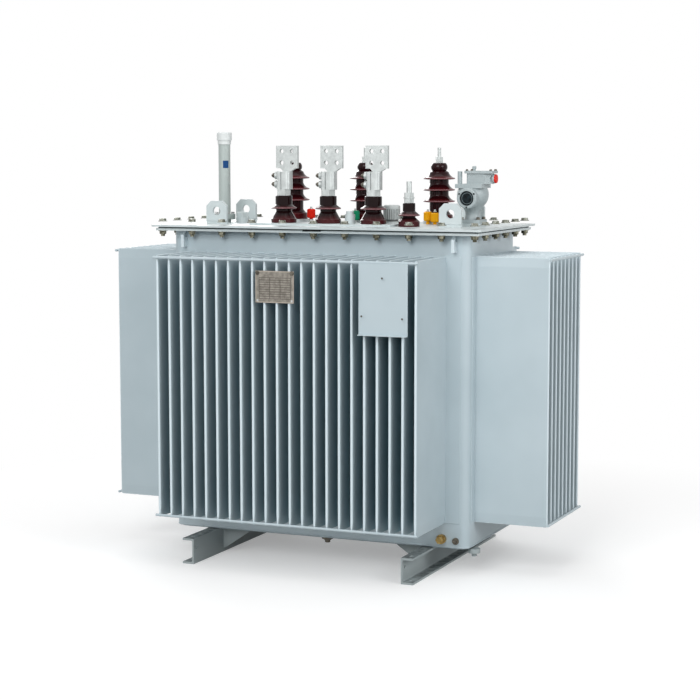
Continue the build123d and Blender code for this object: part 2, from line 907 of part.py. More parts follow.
# Protection relay, a belly turned about its foot with a round sight window in front
relay_base_top = relay_seat_height + relay_base_height
relay_lid_floor = cover_top + relay_shoulder_height + relay_top_plate_height
window_plane = front_plane(relay_x, -relay_ring_reach, cover_top + relay_ring_height)
with BuildPart() as relay_body:
    with BuildSketch(Plane.XY.offset(cover_top + relay_seat_height)):
        with Locations((relay_x, 0)):
            Rectangle(relay_base_width, relay_base_width)
    extrude(amount=relay_base_height)
    with BuildSketch(front_plane(relay_x, 0, cover_top)):
        with BuildLine():
            skirt = Polyline(
                (0, relay_base_top),
                (relay_skirt_radius, relay_base_top),
                (relay_neck_radius, relay_neck_height),
            )
            belly = Spline(
                skirt @ 1,
                (relay_waist_radius, relay_waist_height),
                (relay_cheek_radius, relay_cheek_height),
                (relay_belly_radius, relay_belly_height),
                (relay_shoulder_radius, relay_shoulder_height),
            )
            Polyline(belly @ 1, (0, relay_shoulder_height), (0, relay_base_top))
        make_face()
    revolve(axis=upright_axis(relay_x, 0))
    with BuildSketch(window_plane):
        Circle(relay_ring_radius)
    extrude(amount=-relay_ring_reach)
    fillet(relay_body.edges().group_by(Axis.Y)[0], radius=relay_ring_round)
    with BuildSketch(window_plane):
        Circle(relay_glass_radius + weld_gap)
    extrude(amount=-relay_glass_recess - relay_glass_thickness, mode=Mode.SUBTRACT)
    with BuildSketch(Plane.XY.offset(cover_top + relay_shoulder_height)):
        with Locations((relay_x, 0)):
            Rectangle(relay_top_plate_width, relay_top_plate_width)
    extrude(amount=relay_top_plate_height)
    with BuildSketch(Plane.XY.offset(relay_lid_floor)):
        with Locations((relay_x - relay_stub_left, -relay_stub_front)):
            Circle(relay_stub_radius)
    extrude(amount=relay_stub_height)
relay_body.part.label = "relay_body"

with BuildPart() as relay_window:
    with BuildSketch(window_plane.offset(-relay_glass_recess)):
        Circle(relay_glass_radius)
    extrude(amount=-relay_glass_thickness)
relay_window.part.label = "relay_window"

# Terminal box on the relay, with an overhanging lid and a red plug at its end
relay_box_x = relay_x + relay_box_shift
relay_box_end = relay_box_x + relay_box_width / 2
with BuildPart() as relay_box:
    with BuildSketch(Plane.XY.offset(relay_lid_floor)) as box_plan:
        with Locations((relay_box_x, 0)):
            Rectangle(relay_box_width, relay_box_depth)
        chamfer(box_plan.vertices().group_by(Axis.X)[-1], length=relay_box_chamfer)
        fillet(box_plan.vertices().group_by(Axis.X)[0], radius=relay_box_round)
    extrude(amount=relay_box_height)
    with BuildSketch(Plane.XY.offset(relay_lid_floor + relay_box_height)):
        with Locations((relay_box_x, 0)):
            RectangleRounded(
                relay_box_width + 2 * relay_lid_overhang,
                relay_box_depth + 2 * relay_lid_overhang,
                relay_box_round,
            )
    extrude(amount=relay_lid_height)
    with BuildSketch(side_plane(relay_box_end, 0, relay_lid_floor + relay_box_height / 2)):
        Circle(relay_boss_radius)
    extrude(amount=relay_boss_length)
relay_box.part.label = "relay_box"

with BuildPart() as relay_plug:
    plug_x = relay_box_end + relay_boss_length
    with BuildSketch(side_plane(plug_x, 0, relay_lid_floor + relay_box_height / 2)):
        Circle(relay_plug_radius)
    extrude(amount=relay_plug_length)
relay_plug.part.label = "relay_plug"

# Thermometer pocket beside the gauge and a capped socket in the low-voltage row
pocket_x = gauge_x + pocket_gauge_distance
socket_x = lv_places[1] + socket_lv_distance
with BuildPart() as cover_fittings:
    with BuildSketch(Plane.XY.offset(cover_top)):
        with Locations((pocket_x, 0)):
            Circle(pocket_radius)
    extrude(amount=pocket_height)
    with BuildSketch(Plane.XY.offset(cover_top + pocket_height)):
        with Locations((pocket_x, 0)):
            RegularPolygon(pocket_nut_across / 2, 6, major_radius=False)
    extrude(amount=pocket_nut_height)
    with BuildSketch(Plane.XY.offset(lv_seat)):
        with Locations((socket_x, lv_row_y)):
            Circle(socket_radius)
    extrude(amount=socket_height)
    with BuildSketch(Plane.XY.offset(lv_seat + socket_height)):
        with Locations((socket_x, lv_row_y)):
            Circle(socket_cap_radius)
    extrude(amount=socket_cap_height)
cover_fittings.part.label = "cover_fittings"

# Instrument plate hung in front of the bars, with its lower edge folded forward
with BuildPart() as instrument_plate:
    plate_x = side_face - instrument_plate_end_distance
    plate_top = fin_top - instrument_plate_drop
    plate_floor = plate_top - instrument_plate_height
    plate_front = bar_face - instrument_plate_thickness
    with BuildSketch(side_plane(plate_x, 0, 0)):
        with BuildLine():
            Polyline(
                (bar_face, plate_top),
                (bar_face, plate_floor),
                (plate_front - instrument_plate_lip, plate_floor),
                (plate_front - instrument_plate_lip, plate_floor + instrument_plate_thickness),
                (plate_front, plate_floor + instrument_plate_thickness),
                (plate_front, plate_top),
                close=True,
            )
        make_face()
    extrude(amount=instrument_plate_width / 2, both=True)
instrument_plate.part.label = "instrument_plate"

# Blank rating plate on the fin noses
with BuildPart() as name_plate:
    middle = fin_top - name_plate_drop - name_plate_height / 2
    with BuildSketch(front_plane(name_plate_x, fin_nose_face - weld_gap, middle)):
        Rectangle(name_plate_width, name_plate_height)
    extrude(amount=name_plate_thickness)
name_plate.part.label = "name_plate"

# Drain cap and earth stud low on the front wall
with BuildPart() as drain_valve:
    drain_plane = front_plane(side_face - drain_end_distance, front_face, tank_floor + drain_height)
    with BuildSketch(drain_plane):
        Circle(drain_boss_radius)
    extrude(amount=drain_boss_length)
    with BuildSketch(drain_plane.offset(drain_boss_length)):
        RegularPolygon(drain_cap_across / 2, 6, major_radius=False)
    extrude(amount=drain_cap_length)
drain_valve.part.label = "drain_valve"

with BuildPart() as earth_terminal:
    earth_plane = front_plane(side_face - earth_end_distance, front_face, tank_floor + earth_height)
    with BuildSketch(earth_plane):
        Circle(earth_ring_radius)
    extrude(amount=earth_ring_length)
    with BuildSketch(earth_plane):
        Circle(earth_stud_radius)
    extrude(amount=earth_stud_length)
earth_terminal.part.label = "earth_terminal"

# Plug under the floor plate
with BuildPart() as bottom_plug:
    plug_y = front_face + plug_wall_distance
    with BuildSketch(Plane.XY.offset(skid_height)):
        with Locations((plug_x, plug_y)):
            Circle(plug_radius)
    extrude(amount=-plug_height)
    with BuildSketch(Plane.XY.offset(skid_height - plug_height)):
        with Locations((plug_x, plug_y)):
            RegularPolygon(plug_tip_radius, 6)
    extrude(amount=-plug_tip_height)
bottom_plug.part.label = "bottom_plug"

pieces = [
    tank_floor_plate,
    tank_body,
    front_fins,
    rear_fins,
    right_fins,
    left_fins,
    fin_bars,
    skid_left,
    skid_right,
    skid_gussets,
    tank_flange,
    cover_gasket,
    cover_plate,
    tank_hooks,
    cover_lugs,
    lv_mount_plate,
    *lv_pieces,
    neutral_bushing,
    neutral_stud,
    hv_seats,
    *hv_pieces,
    hv_studs,
    phase_marker_red,
    phase_marker_green,
    phase_marker_yellow,
    gauge_tube,
    gauge_cap,
    tap_changer,
    relay_body,
    relay_window,
    relay_box,
    relay_plug,
    cover_fittings,
    instrument_plate,
    name_plate,
    drain_valve,
    earth_terminal,
    bottom_plug,
]
for piece in pieces:
    export_step(piece.part, "parts/" + piece.part.label + ".step")
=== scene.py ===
# %% [markdown]
# A sealed oil transformer stands on two channels, with corrugated fin walls on all four sides.
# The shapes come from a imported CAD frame, and this file gives every surface its finish.
# It also adds the small pieces that a CAD model leaves out: bolts, weld beads, screws and studs.

import math

import bmesh
import bpy
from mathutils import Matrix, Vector


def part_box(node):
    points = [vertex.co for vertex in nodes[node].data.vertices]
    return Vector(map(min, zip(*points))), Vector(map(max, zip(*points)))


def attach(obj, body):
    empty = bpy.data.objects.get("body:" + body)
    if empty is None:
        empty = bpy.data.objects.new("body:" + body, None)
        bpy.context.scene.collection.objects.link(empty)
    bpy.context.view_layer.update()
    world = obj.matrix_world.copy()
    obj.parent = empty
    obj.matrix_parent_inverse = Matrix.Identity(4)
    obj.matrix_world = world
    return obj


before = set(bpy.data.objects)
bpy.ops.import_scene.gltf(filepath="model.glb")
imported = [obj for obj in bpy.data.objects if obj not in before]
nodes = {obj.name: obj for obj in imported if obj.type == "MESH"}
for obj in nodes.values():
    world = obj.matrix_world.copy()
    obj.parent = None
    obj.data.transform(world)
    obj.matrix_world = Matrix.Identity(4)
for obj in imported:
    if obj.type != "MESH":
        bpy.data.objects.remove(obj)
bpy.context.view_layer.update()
print("nodes in the frame:", len(nodes))

MM = 0.001


def low_and_high(name):
    """The two corners of a node's box, as vectors in metres."""
    low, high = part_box(name)
    return Vector(low), Vector(high)


def middle(name):
    """The centre of a node's box."""
    low, high = low_and_high(name)
    return (low + high) / 2


def on_circle(centre, radius, angle):
    """The two coordinates of a point on a circle."""
    return centre[0] + radius * math.cos(angle), centre[1] + radius * math.sin(angle)


# %% [markdown]
# Colours are written as a painter reads them, as two-digit hex values.
# Blender's sockets want linear light instead, so one helper turns one into the other.


# %% Colours
def paint(hex_code, alpha=1.0):
    """A linear colour from a hex code such as b8c6cc."""
    channels = [int(hex_code[i : i + 2], 16) / 255 for i in (0, 2, 4)]
    linear = [c / 12.92 if c <= 0.04045 else ((c + 0.055) / 1.055) ** 2.4 for c in channels]
    return (*linear, alpha)


ENAMEL_GREY_BLUE = paint("b8c6cc")
COVER_GREY = paint("cbd4d5")
GAUGE_GREY = paint("b7c0bd")
RELAY_GREY = paint("a7b1b3")
SWITCH_GREY = paint("ccd1d0")
print("tank colour in linear light:", [round(channel, 3) for channel in ENAMEL_GREY_BLUE[:3]])

# %% [markdown]
# A finish is a chain of nodes, and a chain written socket by socket is long. One function adds
# a node and fills its inputs, whether they get a link or a plain value. The others name the
# few steps that every finish needs, so that a group reads like a recipe.


# %% Helpers that build node trees
def add(tree, kind, inputs=None, **settings):
    """A node with its settings, and with each named input linked or set to a plain value."""
    node = tree.nodes.new(kind)
    for label, setting in settings.items():
        setattr(node, label, setting)
    for label, value in (inputs or {}).items():
        if isinstance(value, bpy.types.NodeSocket):
            tree.links.new(value, node.inputs[label])
        else:
            node.inputs[label].default_value = value
    return node


def socket_kind(value):
    """The kind of socket that can hold a value."""
    if value is None:
        return "NodeSocketMaterial"
    if isinstance(value, tuple):
        return "NodeSocketColor" if len(value) == 4 else "NodeSocketVector"
    return "NodeSocketInt" if isinstance(value, int) else "NodeSocketFloat"


def name_inputs(tree, inputs):
    """Gives a tree its named inputs, and returns the sockets at its start and at its end."""
    for label, value in inputs.items():
        socket = tree.interface.new_socket(label, in_out="INPUT", socket_type=socket_kind(value))
        if value is not None:
            socket.default_value = value
    return tree, tree.nodes.new("NodeGroupInput").outputs, tree.nodes.new("NodeGroupOutput").inputs


def new_group(name, inputs, outputs):
    """An empty shader group with named sockets."""
    group = bpy.data.node_groups.new(name, "ShaderNodeTree")
    for label, kind in outputs.items():
        group.interface.new_socket(label, in_out="OUTPUT", socket_type=kind)
    return name_inputs(group, inputs)


def link_all(tree, sockets, values):
    """Links values to sockets of the same names."""
    for label, value in values.items():
        tree.links.new(value, sockets[label])


def object_coords(tree):
    """Coordinates that stay with the object."""
    return tree.nodes.new("ShaderNodeTexCoord").outputs["Object"]


def split(tree, vector):
    """The X, Y and Z of a vector."""
    return add(tree, "ShaderNodeSeparateXYZ", {"Vector": vector}).outputs


def noise(tree, coords, scale, detail=3.0, rough=0.55):
    """A noise texture on the given coordinates."""
    inputs = {"Scale": scale, "Detail": detail, "Roughness": rough, "Vector": coords}
    return add(tree, "ShaderNodeTexNoise", inputs).outputs["Fac"]


def remap(tree, value, low, high, to_low, to_high, **settings):
    """A value spread from one range to another and held inside it."""
    inputs = {"Value": value, "From Min": low, "From Max": high, "To Min": to_low, "To Max": to_high}
    return add(tree, "ShaderNodeMapRange", inputs, **settings).outputs["Result"]


def calculate(tree, operation, first, second):
    """One sum on two values, either of which may be a plain number, in any kind of tree."""
    return add(tree, "ShaderNodeMath", {0: first, 1: second}, operation=operation).outputs["Value"]


def mix_colour(tree, mask, first, second, blend="MIX"):
    """Two colours mixed by a mask."""
    inputs = {"Factor": mask, "A": first, "B": second}
    return add(tree, "ShaderNodeMix", inputs, data_type="RGBA", blend_type=blend).outputs["Result"]


def bump(tree, height, strength, distance):
    """A bump normal from a height."""
    inputs = {"Strength": strength, "Distance": distance, "Height": height}
    return add(tree, "ShaderNodeBump", inputs).outputs["Normal"]


FINISH_OUTPUTS = {"Colour": "NodeSocketColor", "Roughness": "NodeSocketFloat", "Normal": "NodeSocketVector"}
print("every finish gives:", ", ".join(FINISH_OUTPUTS))

# %% [markdown]
# Sprayed enamel is never one flat colour. It has a faint cloudiness, a fine orange-peel skin,
# and a little dust that settles on surfaces that face up. Where a material gives that dust a dark
# colour, the upward faces carry painted shade instead.
# Several materials need this, so it is a node group that is built once, with named inputs.


# %% A shared group for sprayed enamel
def build_enamel_group():
    """Cloudy colour, uneven gloss and orange peel for sprayed enamel."""
    inputs = {
        "Colour": ENAMEL_GREY_BLUE,
        "Dust And Shade Colour": paint("d3d6d2"),
        "Dust And Shade Amount": 0.12,
        "Roughness": 0.4,
    }
    group, ins, outs = new_group("sprayed enamel", inputs, FINISH_OUTPUTS)
    coords = object_coords(group)
    clouds = noise(group, coords, 2.6)
    specks = noise(group, coords, 38.0, detail=4.0)
    peel = noise(group, coords, 420.0, detail=1.0)
    waves = noise(group, coords, 9.0, detail=1.0)
    cloud_mask = remap(group, clouds, 0.3, 0.7, 0.0, 0.3)
    darker = mix_colour(group, cloud_mask, ins["Colour"], paint("c2cccf"), "MULTIPLY")
    facing = group.nodes.new("ShaderNodeNewGeometry").outputs["Normal"]
    up = remap(group, split(group, facing)["Z"], 0.4, 1.0, 0.0, 1.0)
    dust_and_shade_share = calculate(group, "MULTIPLY", up, remap(group, specks, 0.35, 0.65, 0.3, 1.0))
    dust_and_shade_share = calculate(group, "MULTIPLY", dust_and_shade_share, ins["Dust And Shade Amount"])
    colour = mix_colour(group, dust_and_shade_share, darker, ins["Dust And Shade Colour"])
    rough = calculate(group, "ADD", ins["Roughness"], remap(group, clouds, 0.3, 0.7, -0.05, 0.07))
    rough = calculate(group, "ADD", rough, calculate(group, "MULTIPLY", dust_and_shade_share, 0.5))
    height = calculate(group, "ADD", calculate(group, "MULTIPLY", peel, 0.25), waves)
    normal = bump(group, height, 0.12, 0.002)
    link_all(group, outs, {"Colour": colour, "Roughness": rough, "Normal": normal})
    return group


sprayed_enamel = build_enamel_group()
print("shared group:", sprayed_enamel.name)

# %% [markdown]
# Plated steel, castings and tinned connectors share another look. Their colour shifts in
# patches and their gloss is broken up by fine grain, because the metal was cast or tumbled.


# %% A shared group for plated and cast metal
def build_metal_group():
    """Patchy colour, grainy gloss and a fine bump for plated or cast metal."""
    inputs = {
        "Colour": paint("c8c9ca"),
        "Patch Colour": paint("98999a"),
        "Patch Amount": 0.4,
        "Patch Scale": 60.0,
        "Roughness": 0.35,
    }
    group, ins, outs = new_group("patchy metal", inputs, FINISH_OUTPUTS)
    coords = object_coords(group)
    patches = noise(group, coords, ins["Patch Scale"], detail=4.0)
    grain = noise(group, coords, 700.0, detail=2.0)
    mask = remap(group, patches, 0.38, 0.62, 0.0, 1.0)
    mask = calculate(group, "MULTIPLY", mask, ins["Patch Amount"])
    colour = mix_colour(group, mask, ins["Colour"], ins["Patch Colour"])
    rough = calculate(group, "ADD", ins["Roughness"], remap(group, grain, 0.3, 0.7, -0.08, 0.12))
    normal = bump(group, grain, 0.15, 0.0006)
    link_all(group, outs, {"Colour": colour, "Roughness": rough, "Normal": normal})
    return group


patchy_metal = build_metal_group()
print("shared group:", patchy_metal.name)

# %% [markdown]
# Glazed porcelain is a coloured body under clear glass. The glaze runs thin on sharp edges,
# so it looks warmer there, and the hollows between the sheds are darker, partly from pooled glaze
# and partly as painted shade. The group finds how far a point lies from its bushing's own axis
# and warms the far ones, and it gives the outermost rims a painted highlight.


# %% A shared group for glazed porcelain
def build_glaze_group():
    """A glaze that warms with the distance from an upright axis, with a painted highlight on the rims."""
    inputs = {
        "Deep Colour": paint("2a1518"),
        "Rim Colour": paint("6a3434"),
        "Rim Highlight Colour": paint("7a5558"),
        "Foot Top": -1.0,
        "Axis": (0.0, 0.0, 0.0),
        "Core Radius": 0.04,
        "Rim Radius": 0.06,
    }
    group, ins, outs = new_group("thin at the rims with painted light", inputs, FINISH_OUTPUTS)
    coords = object_coords(group)
    away = add(group, "ShaderNodeVectorMath", {0: coords, 1: ins["Axis"]}, operation="SUBTRACT")
    away = away.outputs["Vector"]
    flat = add(group, "ShaderNodeVectorMath", {0: away, 1: (1.0, 1.0, 0.0)}, operation="MULTIPLY")
    length = add(group, "ShaderNodeVectorMath", {0: flat.outputs["Vector"]}, operation="LENGTH")
    length = length.outputs["Value"]
    core = ins["Core Radius"]
    rim = ins["Rim Radius"]
    spread = remap(group, length, core, rim, 0.0, 1.0, interpolation_type="SMOOTHSTEP")
    patches = noise(group, coords, 26.0, detail=3.0)
    thin = calculate(group, "MULTIPLY", spread, remap(group, patches, 0.3, 0.7, 0.7, 1.0))
    # Warmer towards the rims and darker towards the stem: thin glaze, and partly painted shade.
    colour = mix_colour(group, thin, ins["Deep Colour"], ins["Rim Colour"])
    # A painted highlight on the outermost rims, kept off the foot.
    past = calculate(group, "SUBTRACT", length, rim)
    edge = remap(group, past, -0.0035, -0.0005, 0.0, 0.85)
    over_foot = calculate(group, "GREATER_THAN", split(group, away)["Z"], ins["Foot Top"])
    edge = calculate(group, "MULTIPLY", edge, over_foot)
    colour = mix_colour(group, edge, colour, ins["Rim Highlight Colour"])
    rough = remap(group, patches, 0.3, 0.7, 0.06, 0.14)
    normal = bump(group, noise(group, coords, 70.0, detail=1.0), 0.12, 0.001)
    link_all(group, outs, {"Colour": colour, "Roughness": rough, "Normal": normal})
    return group


rim_glaze = build_glaze_group()
print("shared group:", rim_glaze.name)

# %% [markdown]
# Every finish is a Principled shader in its own material, fed by one of the groups.
# Values that are the same all over are set on the shader's sockets, not linked to them.


# %% Material helper
def new_material(name):
    """A new material, its tree and its Principled shader."""
    material = bpy.data.materials.new(name)
    material.use_nodes = True
    return material, material.node_tree, material.node_tree.nodes["Principled BSDF"]


def finish_material(name, group, values, plain):
    """A material whose colour, roughness and normal come from a shared group."""
    material, tree, shader = new_material(name)
    pattern = add(tree, "ShaderNodeGroup", values, node_tree=group)
    for label, target in (("Colour", "Base Color"), ("Roughness", "Roughness"), ("Normal", "Normal")):
        tree.links.new(pattern.outputs[label], shader.inputs[target])
    for label, value in plain.items():
        shader.inputs[label].default_value = value
    return material


finished = set()


def set_material(node, material):
    """Puts one material in all the slots of a CAD node."""
    for slot in nodes[node].material_slots:
        slot.material = material
    finished.add(node)


# %% [markdown]
# The tank, cover, gauge, relay and skids are each a slightly different grey.
# One function makes them all: it takes a colour, a roughness and a gloss, and it takes a dust
# only where that differs from the group's own. On the skids that dust is dark and is painted shade
# on their upward faces. That is shorter than one graph for each paint, and a change to the group
# reaches every paint at once.


# %% Enamels
def enamel(name, colour, roughness, gloss, dust_and_shade=None, dust_and_shade_share=None):
    """Sprayed enamel in one colour, with its own dust where it has any; a dark dust is painted shade."""
    values = {"Colour": colour, "Roughness": roughness}
    if dust_and_shade is not None:
        values["Dust And Shade Colour"] = paint(dust_and_shade)
    if dust_and_shade_share is not None:
        values["Dust And Shade Amount"] = dust_and_shade_share
    return finish_material(name, sprayed_enamel, values, {"Specular IOR Level": gloss})


body_enamel = enamel("body enamel", ENAMEL_GREY_BLUE, 0.36, 0.45)
# A lighter copy of the body enamel: a painted highlight on the fin edge welds and the tank hooks.
painted_highlight_enamel = enamel("painted highlight enamel", paint("d8e4e9"), 0.34, 0.5, dust_and_shade="e2e8ea")
cover_enamel = enamel("cover enamel", COVER_GREY, 0.34, 0.5, dust_and_shade_share=0.2)
gauge_enamel = enamel("gauge enamel", GAUGE_GREY, 0.32, 0.5)
cap_enamel = enamel("white cap", paint("e4e7e6"), 0.35, 0.4)
relay_enamel = enamel("relay enamel", RELAY_GREY, 0.42, 0.5, dust_and_shade_share=0.1)
# The skids' upward faces take a dark dust colour, which is painted shade under the tank.
skid_enamel_with_painted_shade = enamel("skid enamel", paint("a0a9aa"), 0.5, 0.4, dust_and_shade="4b5052", dust_and_shade_share=0.8)
# A painted-over gasket darkened as painted shade in the recessed cover joint; the sight ring takes this dark
# grey as its own colour.
dark_grey_and_joint_shade = enamel("painted gasket", paint("5f6b6e"), 0.6, 0.35, dust_and_shade="8b9292")
print("enamels so far:", len(bpy.data.materials))


# %% [markdown]
# The depths between the fins are painted darker and bluer, which is painted shade, and the noses
# are painted lighter, which is a painted highlight. A group measures how far a point lies behind
# the noses. Its painted shade mask leaves out the outer faces of the end fins and the pinched
# tops, which are as bright as the rest.


# %% Enamel of the corrugated walls
FIN_PITCH = 50 * MM
FRONT_FINS = 22
SIDE_FINS = 9
# Painted shade tone for the depths between the fins, and painted highlight tone for their noses.
PAINTED_SHADE_TONE = paint("638a97")
PAINTED_HIGHLIGHT_TONE = paint("cfdde3")


def build_depth_group():
    """Painted shade between the fins and a painted highlight on their noses, between the end fins only."""
    inputs = {"Across": 0.0, "Nose": 0.58, "Full Depth": 0.11, "Half Length": 0.52, "Top": 1.2}
    outputs = {"Mask": "NodeSocketFloat", "Nose Mask": "NodeSocketFloat"}
    group, ins, outs = new_group("depth between fins", inputs, outputs)
    place = split(group, object_coords(group))
    x = calculate(group, "ABSOLUTE", place["X"], 0.0)
    y = calculate(group, "ABSOLUTE", place["Y"], 0.0)
    across = ins["Across"]
    not_across = calculate(group, "SUBTRACT", 1.0, across)
    y_kept = calculate(group, "MULTIPLY", y, not_across)
    outward = calculate(group, "ADD", y_kept, calculate(group, "MULTIPLY", x, across))
    x_kept = calculate(group, "MULTIPLY", x, not_across)
    along = calculate(group, "ADD", x_kept, calculate(group, "MULTIPLY", y, across))
    behind = calculate(group, "SUBTRACT", ins["Nose"], outward)
    deep = remap(group, calculate(group, "DIVIDE", behind, ins["Full Depth"]), 0.08, 1.0, 0.0, 1.0)
    nose = remap(group, behind, 0.0015, 0.006, 1.0, 0.0)
    inside = calculate(group, "LESS_THAN", along, ins["Half Length"])
    below = remap(group, calculate(group, "SUBTRACT", ins["Top"], place["Z"]), 0.008, 0.06, 0.0, 1.0)
    mask = calculate(group, "MULTIPLY", calculate(group, "MULTIPLY", deep, inside), below)
    link_all(group, outs, {"Mask": mask, "Nose Mask": nose})
    return group


depth_between_fins = build_depth_group()


def fin_enamel_with_painted_light(name, node, across):
    """Body enamel with painted shade deep in one corrugated wall and a painted highlight on its noses."""
    material = enamel(name, ENAMEL_GREY_BLUE, 0.36, 0.45)
    tree = material.node_tree
    low, high = low_and_high(node)
    reach_axis = 0 if across else 1
    fins = SIDE_FINS if across else FRONT_FINS
    values = {
        "Across": 1.0 if across else 0.0,
        "Nose": max(abs(low[reach_axis]), abs(high[reach_axis])),
        "Half Length": (fins - 1) / 2 * FIN_PITCH,
        "Top": high.z,
    }
    depth = add(tree, "ShaderNodeGroup", values, node_tree=depth_between_fins)
    shader = tree.nodes["Principled BSDF"]
    painted = shader.inputs["Base Color"].links[0].from_socket
    # Painted shade deep between the fins, then a painted highlight on the noses.
    shaded = mix_colour(tree, depth.outputs["Mask"], painted, PAINTED_SHADE_TONE)
    nosed = mix_colour(tree, depth.outputs["Nose Mask"], shaded, PAINTED_HIGHLIGHT_TONE)
    tree.links.new(nosed, shader.inputs["Base Color"])
    return material


for side, across in (("front", False), ("rear", False), ("right", True), ("left", True)):
    set_material(side + "_fins", fin_enamel_with_painted_light(side + " fin enamel", side + "_fins", across))
print("corrugated walls finished:", len(finished))

# %% [markdown]
# The connectors are tinned castings, the cover bolts have an olive zinc plate, and the small
# screws have gone dark. They share the patchy group, so a metal is one line: its colour, the
# colour of its patches, how strong the patches are, its roughness and how metallic it is.
# The plated ones stay below full metal, because a mirror would show only the white studio.


# %% Metals
def metal(name, colour, patches, amount, roughness, metallic, scale=60.0):
    """Plated or cast metal, with its patches."""
    values = {
        "Colour": paint(colour),
        "Patch Colour": paint(patches),
        "Patch Amount": amount,
        "Patch Scale": scale,
        "Roughness": roughness,
    }
    return finish_material(name, patchy_metal, values, {"Metallic": metallic})


tinned = metal("tinned casting", "c0c5c4", "9a9f9f", 0.4, 0.4, 0.6)
olive_zinc = metal("olive zinc plate", "a2a49b", "4a4a3a", 0.85, 0.34, 0.8, scale=110.0)
# A darker copy of the olive zinc, which is painted shade for the nuts under the flange.
olive_zinc_in_painted_shade = metal("olive zinc plate in painted shade", "8f8d7b", "38372a", 0.9, 0.4, 0.75)
bright_zinc = metal("bright zinc plate", "c9cbcb", "8f9192", 0.5, 0.3, 0.85)
dark_zinc = metal("weathered zinc plate", "6f6a60", "39352e", 0.8, 0.45, 0.7)
plain_brass = metal("plain brass", "b39a62", "5f4c28", 0.7, 0.35, 0.9)
plate_metal = metal("dull plate", "928d84", "615c55", 0.7, 0.4, 0.5)
rim_metal = metal("bare rim", "aba398", "8d8578", 0.5, 0.35, 0.5)
rule_metal = metal("filled rule", "3f3a35", "575149", 0.6, 0.5, 0.5)
print("materials so far:", len(bpy.data.materials))

# %% [markdown]
# The phase caps are moulded plastic in strong colours, so they take the enamel group with next
# to no dust and little gloss, which would wash the colour out. The sight glass is dark because
# the chamber behind it is unlit. It needs no see-through glass, because nothing could be seen
# through it: a dark, smooth surface with a slight unevenness in its colour is enough.


# %% Rubber, plastic and glass
black_rubber = enamel("black rubber", paint("1d2122"), 0.7, 0.3, dust_and_shade="3a3e3f")
PLASTIC_COLOURS = {"red": "e42208", "green": "078a60", "yellow": "f2aa08"}
plastics = {}
for colour_name, code in PLASTIC_COLOURS.items():
    moulding = colour_name + " moulding"
    plastics[colour_name] = enamel(moulding, paint(code), 0.45, 0.15, dust_and_shade="cfc9bf", dust_and_shade_share=0.02)
label_blue = enamel("plain blue label", paint("12467e"), 0.4, 0.2, dust_and_shade="6f93b5", dust_and_shade_share=0.02)


def sight_glass_material():
    """Dark glass in front of an unlit chamber."""
    material, tree, shader = new_material("sight glass")
    cloudy = remap(tree, noise(tree, object_coords(tree), 60.0), 0.4, 0.65, 0.0, 1.0)
    colour = mix_colour(tree, cloudy, paint("080d10"), paint("1f2b30"))
    tree.links.new(colour, shader.inputs["Base Color"])
    shader.inputs["Roughness"].default_value = 0.08
    shader.inputs["Specular IOR Level"].default_value = 0.12
    return material


sight_glass = sight_glass_material()
print("materials so far:", len(bpy.data.materials))

# %% [markdown]
# The low-voltage porcelains are almost black and the high-voltage ones are red-brown. Each gets
# its own material, because the glaze group needs the place of that bushing's axis. Its widest
# shed gives the radius of the rims, and the straight foot keeps the plain colour.


# %% Glazes
GLAZED_FOOT = 30 * MM
DARK_GLAZE = ("190b0c", "451b1e")
RED_GLAZE = ("22070a", "5e191d")


def glaze(name, node, colours, core_radius):
    """A glaze whose axis is the middle of one bushing, and whose rims are its widest sheds."""
    centre = middle(node)
    low, high = low_and_high(node)
    values = {
        "Deep Colour": paint(colours[0]),
        "Rim Colour": paint(colours[1]),
        "Axis": tuple(centre),
        "Core Radius": core_radius,
        "Rim Radius": (high.x - low.x) / 2,
        "Foot Top": low.z + GLAZED_FOOT - centre.z,
    }
    return finish_material(name, rim_glaze, values, {"Specular IOR Level": 0.16})


for letter in "abc":
    low_voltage = "lv_bushing_" + letter
    high_voltage = "hv_bushing_" + letter
    set_material(low_voltage, glaze("dark glaze " + letter, low_voltage, DARK_GLAZE, 36 * MM))
    set_material(high_voltage, glaze("red brown glaze " + letter, high_voltage, RED_GLAZE, 42 * MM))
set_material("neutral_bushing", glaze("dark glaze n", "neutral_bushing", DARK_GLAZE, 26 * MM))
print("finished so far:", len(finished))

# %% [markdown]
# The tap changer's drum has grooves down its side, and they are painted dark, as painted shade
# in the recesses. The glaze group already tells how far a point lies from an upright axis, so
# here it is fed with black and white and becomes a mask. Two height tests keep the mask off the
# foot and the cap.

# %% Painted shade in the grooves of the tap changer
GROOVE_FLOOR = 30.5 * MM
GROOVE_TOP = 33.5 * MM
FOOT_TOP = 13 * MM
DRUM_TOP = 61 * MM
UNSHADED_SHARE = 0.25
BLACK = paint("000000")
WHITE = paint("ffffff")


